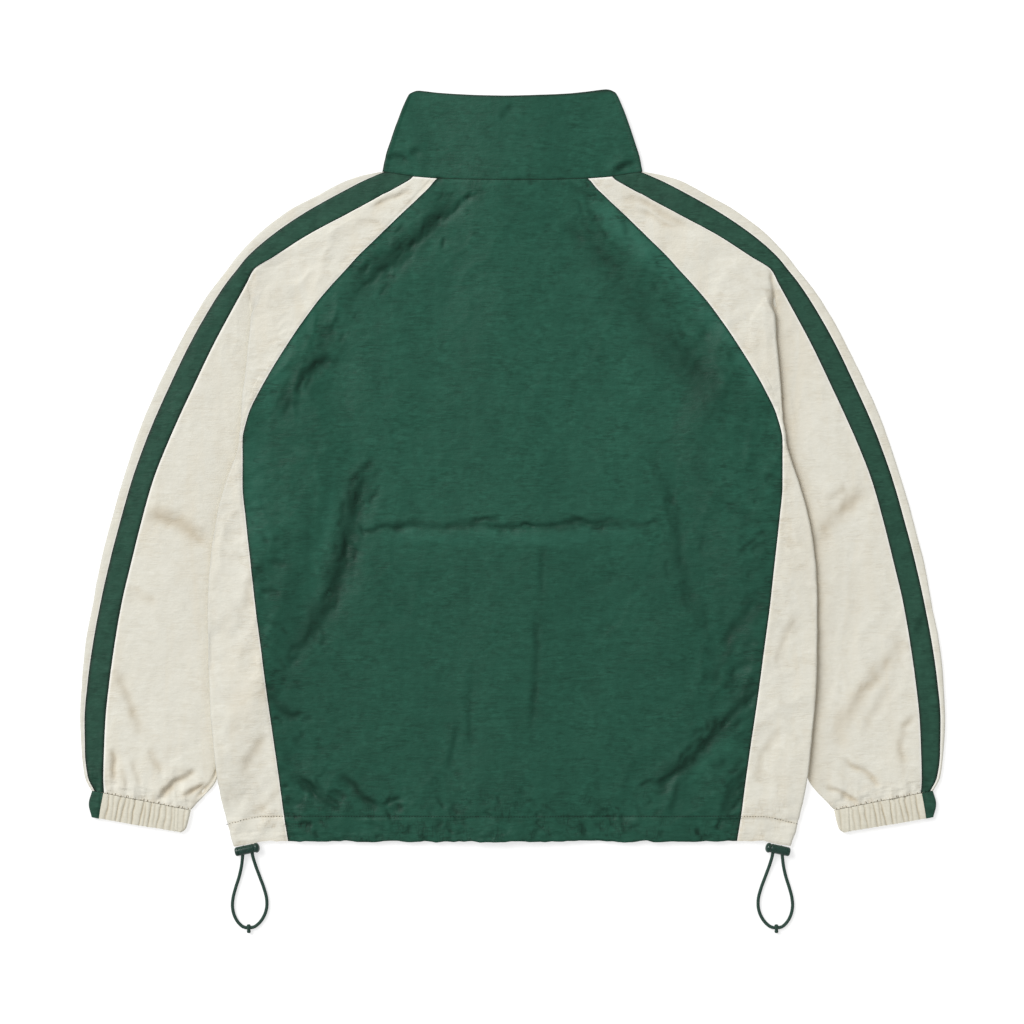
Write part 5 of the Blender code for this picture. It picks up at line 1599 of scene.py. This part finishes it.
def cord_end(word, side, plastic, cord_material):
    """The lock, its button, the two strands and the bead that joins their ends."""
    angle = math.radians(LOCK_TILT)
    axis = np.array((-side * math.cos(angle), math.sin(angle), 0))
    centre = np.array((side * LOCK_U, LOCK_Y, LOCK_Z))
    profile = [(at, LOCK_RADIUS - less) for at, less in LOCK_PROFILE]
    start = centre - axis * LOCK_OUT
    lock = turned_piece(f"lock_barrel_{word}", profile, start, axis, plastic)
    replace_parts(lock, f"cord_lock_{word}")
    dome = [(at, BUTTON_RADIUS * math.sqrt(1 - ((at - 2.4) / 3.7) ** 2)) for at in np.linspace(0.25, 5.7, 14)]
    profile = [(0.0, 4.2), *dome, (5.9, 1.7), (BUTTON_LENGTH, 1.0)]
    start = centre + axis * (LOCK_IN + 0.1) + (0, 0, 0.5)
    button = turned_piece(f"lock_button_{word}", profile, start, axis, plastic)
    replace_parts(button, f"cord_button_{word}")
    knot = end_knot(word, side, cord_material)
    for strand, route in (("outer", CORD_OUTER), ("inner", CORD_INNER)):
        line = smooth_route([(side * u, y, z) for u, y, z in route], 0.7)
        name = f"cord_{strand}_{word}"
        piece = braided_tube(f"{name}_braid", line, CORD_RADIUS, 16, cord_material, 0.06)
        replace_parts(piece, name)


def end_knot(word, side, material):
    """A small bead with a crimp, and the cord's trimmed tail below it."""
    u, y, z = KNOT
    start, axis = (side * u, y + 4.3, z + 0.2), (0.02, -1, 0)
    knot = turned_piece(f"cord_bead_{word}", KNOT_PROFILE, start, axis, material, 24)
    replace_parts(knot, f"cord_knot_{word}")
    return knot


# Materials


def linear(colour):
    """sRGB from 0 to 255 to a linear colour."""
    return (*(((c / 255 + 0.055) / 1.055) ** 2.4 if c > 10 else c / 255 / 12.92 for c in colour), 1.0)


class Nodes:
    """A material's node tree, with short calls to add and join its nodes."""

    def __init__(self, name):
        self.material = bpy.data.materials.new(name)
        self.material.use_nodes = True
        self.tree = self.material.node_tree
        self.shader = self.tree.nodes["Principled BSDF"]
        self.place = self.add("ShaderNodeTexCoord").outputs["Object"]

    def add(self, kind, **settings):
        node = self.tree.nodes.new(kind)
        for key, value in settings.items():
            setattr(node, key, value)
        return node

    def join(self, output, socket):
        self.tree.links.new(output, socket)

    def mapped(self, scale, rotation=0.0):
        node = self.add("ShaderNodeMapping")
        node.inputs["Scale"].default_value = scale
        node.inputs["Rotation"].default_value = (0, 0, rotation)
        self.join(self.place, node.inputs["Vector"])
        return node.outputs[0]

    def noise(self, vector, scale, detail=2.0, rough=0.5, distortion=0.0):
        node = self.add("ShaderNodeTexNoise")
        node.inputs["Distortion"].default_value = distortion
        node.inputs["Scale"].default_value = scale
        node.inputs["Detail"].default_value = detail
        node.inputs["Roughness"].default_value = rough
        self.join(vector, node.inputs["Vector"])
        return node.outputs["Fac"]

    def remap(self, value, low, high, to_low=0.0, to_high=1.0):
        node = self.add("ShaderNodeMapRange")
        for key, number in (("From Min", low), ("From Max", high), ("To Min", to_low), ("To Max", to_high)):
            node.inputs[key].default_value = number
        self.join(value, node.inputs["Value"])
        return node.outputs[0]

    def math(self, operation, a, b):
        node = self.add("ShaderNodeMath", operation=operation)
        for socket, value in zip(node.inputs, (a, b)):
            if isinstance(value, (int, float)):
                socket.default_value = value
            else:
                self.join(value, socket)
        return node.outputs[0]

    def times(self, a, b):
        return self.math("MULTIPLY", a, b)

    def plus(self, first, *others):
        for other in others:
            first = self.math("ADD", first, other)
        return first

    def attribute(self, name):
        """An attribute of the mesh, as a number."""
        return self.add("ShaderNodeAttribute", attribute_name=name).outputs["Fac"]

    def marks(self):
        """The four numbers of the shell's marks: seam edges for the painted seam lines, painted crease shade,
        and the puckers and hem that get painted crease lines.
        """
        marks = self.add("ShaderNodeAttribute", attribute_name="marks")
        split = self.add("ShaderNodeSeparateColor")
        self.join(marks.outputs["Color"], split.inputs[0])
        return (*split.outputs[:3], marks.outputs["Alpha"])

    def painted(self, base, share, colour):
        """The base with a share of an sRGB colour over it. The base may be such a colour too."""
        node = self.add("ShaderNodeMix", data_type="RGBA")
        self.join(share, node.inputs[0])
        below, above = node.inputs[6], node.inputs[7]
        if isinstance(base, tuple):
            below.default_value = linear(base)
        else:
            self.join(base, below)
        above.default_value = linear(colour)
        return node.outputs[2]

    def finish(self, base, height, strength, distance, **values):
        """Set the shader's colour, its relief and its other inputs, and give the material."""
        self.join(base, self.shader.inputs["Base Color"])
        for key, value in values.items():
            self.shader.inputs[key.replace("_", " ")].default_value = value
        raised = self.add("ShaderNodeBump")
        raised.inputs["Strength"].default_value = strength
        raised.inputs["Distance"].default_value = distance
        self.join(height, raised.inputs["Height"])
        self.join(raised.outputs[0], self.shader.inputs["Normal"])
        return self.material


def nylon(name, tints, roughness, sheen, grain, seam_share, crease_share):
    """Crinkled nylon: fine slubs and soft mottling, with painted shade in its creases, puckers and rims, and
    painted light and shade in bands and along its seams.
    """
    nodes = Nodes(name)
    seam_mark, shade, across_mask, hem_mask = nodes.marks()
    slubs = nodes.noise(nodes.mapped((76, 360, 300), 0.04), 1.0, 2.5, 0.6, 0.9)
    fine = nodes.noise(nodes.mapped((300, 900, 700)), 1.0, 2.0, 0.6, 0.3)
    mottle = nodes.noise(nodes.mapped((1, 1.2, 1)), 130, 4.0, 0.6, 0.2)
    broad = nodes.noise(nodes.mapped((1, 0.8, 1)), 22, 3.0, 0.6, 0.0)
    patches = nodes.noise(nodes.mapped((1, 1.3, 1)), 85, 2.0, 0.5, 0.3)
    streaks = nodes.noise(nodes.mapped((42, 8, 20), 0.06), 1.0, 3.0, 0.6, 0.8)
    texture = nodes.plus(nodes.times(slubs, 0.48), nodes.times(mottle, 0.45), nodes.times(fine, 0.07))
    spread = nodes.times(nodes.math("SUBTRACT", texture, 0.5), nodes.remap(patches, 0.35, 0.65, 0.5, 1.35))
    base = nodes.painted(tints["dark"], nodes.remap(spread, -0.115, 0.115), tints["light"])
    even = nodes.remap(broad, 0.3, 0.7, 1 - grain - 0.2, 1 - grain + 0.2)
    base = nodes.painted(base, even, tints["cloth"])
    base = nodes.painted(base, nodes.remap(streaks, 0.48, 0.7, 0.0, 0.5), tints["streak"])
    # Painted light towards the highlight colour, painted shade towards the fold colour
    tone_and_painted_light = nodes.attribute("tone_and_painted_light")
    base = nodes.painted(base, nodes.remap(tone_and_painted_light, 0.0, 1.0), tints["painted_highlight"])
    base = nodes.painted(base, nodes.remap(tone_and_painted_light, 0.0, -1.0), tints["fold"])
    # Painted shade in the creases
    base = nodes.painted(base, nodes.times(shade, 0.6), tints["fold"])
    # Painted shade on the turned-down rims
    base = nodes.painted(base, nodes.times(nodes.attribute("rim"), 0.62), tints["rim"])
    # Thin dark lines of painted shade in fine crinkles, puckers and hem creases; the bump presses them in too
    across_lines = thin_lines(nodes, (48, 230, 200), 0.3, 0.09)
    hem_lines = thin_lines(nodes, (130, 46, 200), 0.9, 0.06), thin_lines(nodes, (120, 40, 200), -0.8, 0.05)
    crinkles = thin_lines(nodes, (95, 95, 200), 0.2, 0.09)
    strokes = thin_lines(nodes, (36, 290, 200), 0.02, 0.1)
    creased = nodes.plus(
        nodes.times(across_lines, across_mask),
        nodes.times(nodes.times(nodes.plus(*hem_lines), 0.55), hem_mask),
        nodes.times(crinkles, nodes.times(shade, 0.9)),
        nodes.times(strokes, 0.45),
    )
    base = nodes.painted(base, nodes.times(creased, crease_share), tints["fold"])
    # Painted shade along the green's seams, painted highlight along the cream's
    base = nodes.painted(base, nodes.times(seam_mark, seam_share), tints["seam"])
    crinkle = nodes.noise(nodes.mapped((0.8, 1.25, 1), 0.3), 190, 4.0, 0.62, 0.4)
    height = nodes.plus(nodes.times(crinkle, 0.7), nodes.times(slubs, 0.35))
    height = nodes.math("SUBTRACT", height, nodes.times(creased, 0.3))
    looks = {"Roughness": roughness, "Specular_IOR_Level": 0.2, "Sheen_Weight": sheen, "Sheen_Roughness": 0.5}
    return nodes.finish(base, height, 0.5, 0.0012, **looks)


def thin_lines(nodes, scale, rotation, width):
    """Short uneven lines where a stretched noise passes through its middle."""
    field = nodes.noise(nodes.mapped(scale, rotation), 1.0, 1.5, 0.5, 0.5)
    distance = nodes.math("ABSOLUTE", nodes.math("SUBTRACT", field, 0.5), 0.0)
    broken = nodes.noise(nodes.mapped((60, 60, 60)), 1.0, 1.0, 0.5, 0.0)
    return nodes.times(nodes.remap(distance, 0.0, width, 1.0, 0.0), nodes.remap(broken, 0.48, 0.62))


def elastic_cloth(name, light, dark, fold, rim):
    """The cuffs' cloth: slubs along the cuff, with painted shade in its gathers and on its turned-down rims.
    """
    nodes = Nodes(name)
    shade = nodes.marks()[1]
    slubs = nodes.noise(nodes.mapped((240, 600, 300)), 1.0, 3.0, 0.6)
    mottle = nodes.noise(nodes.mapped((1, 0.5, 1)), 260, 4.0, 0.6)
    tone_and_painted_light = nodes.remap(nodes.plus(nodes.times(slubs, 0.5), nodes.times(mottle, 0.5)), 0.35, 0.65)
    base = nodes.painted(dark, tone_and_painted_light, light)
    # Painted shade in the gathers, then on the rims
    base = nodes.painted(base, nodes.times(shade, 0.75), fold)
    base = nodes.painted(base, nodes.times(nodes.attribute("rim"), 0.4), rim)
    return nodes.finish(base, mottle, 0.4, 0.0008, Roughness=0.65, Specular_IOR_Level=0.25)


def solid_finish(name, light, dark, roughness, scale, metallic=0.0, bump=0.1):
    """Plastic, cord, tape or metal: a finely grained colour."""
    nodes = Nodes(name)
    grain = nodes.noise(nodes.mapped((1, 1, 1)), scale, 3.0, 0.6)
    base = nodes.painted(dark, nodes.remap(grain, 0.35, 0.65), light)
    uneven = nodes.remap(grain, 0.3, 0.7, roughness - 0.06, roughness + 0.06)
    nodes.join(uneven, nodes.shader.inputs["Roughness"])
    return nodes.finish(base, grain, bump, 0.0003, Metallic=metallic)


# Studio


def floor():
    """A plain pale surface, a little below the cloth."""
    half, level = 3.0, -0.0004
    mesh = bpy.data.meshes.new("floor")
    corners = [(-half, -half, level), (half, -half, level), (half, half, level), (-half, half, level)]
    mesh.from_pydata(corners, [], [(0, 1, 2, 3)])
    material = bpy.data.materials.new("pale_floor")
    material.use_nodes = True
    shader = material.node_tree.nodes["Principled BSDF"]
    shader.inputs["Base Color"].default_value = (0.55, 0.55, 0.55, 1)
    shader.inputs["Roughness"].default_value = 0.9
    shader.inputs["Specular IOR Level"].default_value = 0.0
    shader.inputs["Emission Color"].default_value = (1, 1, 1, 1)
    shader.inputs["Emission Strength"].default_value = 0.6
    mesh.materials.append(material)
    made = bpy.data.objects.new("floor", mesh)
    bpy.context.collection.objects.link(made)
    made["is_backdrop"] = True


def area_light(name, place, target, size, power):
    """A round soft light turned to a point."""
    data = bpy.data.lights.new(name, "AREA")
    data.shape = "DISK"
    data.size = size
    data.energy = power
    made = bpy.data.objects.new(name, data)
    made.location = place
    made.rotation_euler = (Vector(target) - Vector(place)).to_track_quat("-Z", "Y").to_euler()
    bpy.context.collection.objects.link(made)


PIXEL = 1.05  # millimetres of the garment in one pixel of the photograph
PHOTO_SIZE = 1024
CENTRE_COLUMN = 512.5  # the garment's centre line in the photograph
HEM_LINE = 845.0  # the row where y is 0
LENS = 100.0
SENSOR = 36.0
GARMENT_Z = 8.0
KEY_PLACE = (-10.8, 9.0, 12.4)
KEY_SIZE = 13
KEY_POWER = 2980
SKY = 0.48


def camera():
    """Straight above, framed as the photograph."""
    data = bpy.data.cameras.new("camera")
    data.lens = LENS
    data.sensor_width = SENSOR
    made = bpy.data.objects.new("camera", data)
    x = (PHOTO_SIZE / 2 - CENTRE_COLUMN) * PIXEL
    y = (HEM_LINE - PHOTO_SIZE / 2) * PIXEL
    height = PHOTO_SIZE * PIXEL * LENS / SENSOR + GARMENT_Z
    made.location = in_frame((x, y, height))
    bpy.context.collection.objects.link(made)
    bpy.context.scene.camera = made


def studio():
    """The floor, an even white sky, one soft light from the upper left and the camera."""
    floor()
    world = bpy.data.worlds.new("studio")
    world.use_nodes = True
    background = world.node_tree.nodes["Background"]
    background.inputs["Color"].default_value = (1, 1, 1, 1)
    background.inputs["Strength"].default_value = SKY
    bpy.context.scene.world = world
    area_light("key", KEY_PLACE, (0, 0, 0), KEY_SIZE, KEY_POWER)
    bpy.context.scene.view_settings.view_transform = "Standard"
    camera()


# In this and the stripe's green, seam, fold and rim are painted shade: along the seams, in creases and folds,
# and on turned-down rims; the highlight colour is painted light
GREEN = {
    "cloth": (33, 83, 66),
    "light": (41, 95, 77),
    "dark": (23, 68, 52),
    "seam": (22, 34, 24),
    "fold": (10, 40, 28),
    "streak": (28, 76, 60),
    "painted_highlight": (56, 116, 98),
    "rim": (10, 40, 28),
}
STRIPE_GREEN = {
    "cloth": (40, 79, 63),
    "light": (48, 90, 73),
    "dark": (30, 64, 50),
    "seam": (20, 32, 24),
    "fold": (12, 38, 28),
    "streak": (34, 71, 57),
    "painted_highlight": (60, 110, 94),
    "rim": (12, 38, 28),
}
# Here seam is a painted highlight along the seams, fold and rim are painted shade, and the highlight colour
# is painted light
CREAM = {
    "cloth": (226, 223, 210),
    "light": (233, 231, 219),
    "dark": (217, 213, 198),
    "seam": (252, 251, 246),
    "fold": (190, 173, 143),
    "streak": (225, 218, 200),
    "painted_highlight": (240, 238, 228),
    "rim": (176, 176, 170),
}
# Light and dark of the slubs, then painted shade in the gathers and painted shade on the turned-down rims
CUFF_CREAM = ((227, 223, 207), (214, 209, 191), (172, 154, 120), (180, 174, 158))


def jacket():
    """All materials and all pieces."""
    green = nylon("green nylon", GREEN, 0.5, 0.0, 0.62, 0.9, 0.55)
    stripe = nylon("stripe nylon", STRIPE_GREEN, 0.5, 0.0, 0.62, 0.95, 0.55)
    cream = nylon("cream nylon", CREAM, 0.55, 0.05, 0.4, 0.75, 0.25)
    elastic = elastic_cloth("cream elastic", *CUFF_CREAM)
    plastic = solid_finish("green plastic", (22, 64, 52), (12, 42, 34), 0.28, 900)
    cord_material = solid_finish("green cord", (40, 74, 61), (22, 46, 38), 0.8, 2500, bump=0.5)
    thread = solid_finish("dark thread", (15, 32, 26), (9, 21, 17), 1.0, 2500)
    tape = solid_finish("zip tape cloth", (44, 82, 68), (30, 64, 52), 0.85, 1800, bump=0.5)
    teeth = solid_finish("zip teeth plastic", (48, 84, 70), (36, 70, 58), 0.4, 700)
    metal = solid_finish("dark metal", (86, 92, 90), (58, 64, 62), 0.32, 500, metallic=0.9)
    # Painted shade for the cuff's tucks
    tuck = solid_finish("tuck shade", (132, 116, 88), (104, 88, 62), 1.0, 2500)
    back_panel(green)
    collar(green)
    for word, side in SIDES:
        cord_end(word, side, plastic, cord_material)
        side_panel(word, side, cream)
        sleeve_back(word, side, cream)
        sleeve_stripe(word, side, stripe)
        sleeve_front(word, side, cream)
        cuff(word, side, elastic, stripe)
        front_panel(word, side, green)
        zip_tape(word, side, tape)
    zip_teeth(teeth)
    hem_stitches("hem_stitches_back", -236, 236, thread)
    hem_stitches("hem_stitches_left", -300, -238, thread)
    hem_stitches("hem_stitches_right", 238, 300, thread)
    for word, side in SIDES:
        cuff_tuck_shade(f"cuff_tuck_shade_{word}", side, tuck)
    for name in ("zip_box", "zip_slider", "zip_pull_tab"):
        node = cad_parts[name]
        node.data.materials.clear()
        node.data.materials.append(metal)


def write_sizes():
    """Works out the boxes of the solids and of what is shown; nothing writes them."""
    sizes = {"cad": CAD_BOX, "visual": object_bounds()}
    sizes = {name: [list(map(float, corner)) for corner in box] for name, box in sizes.items()}


studio()
jacket()
write_sizes()
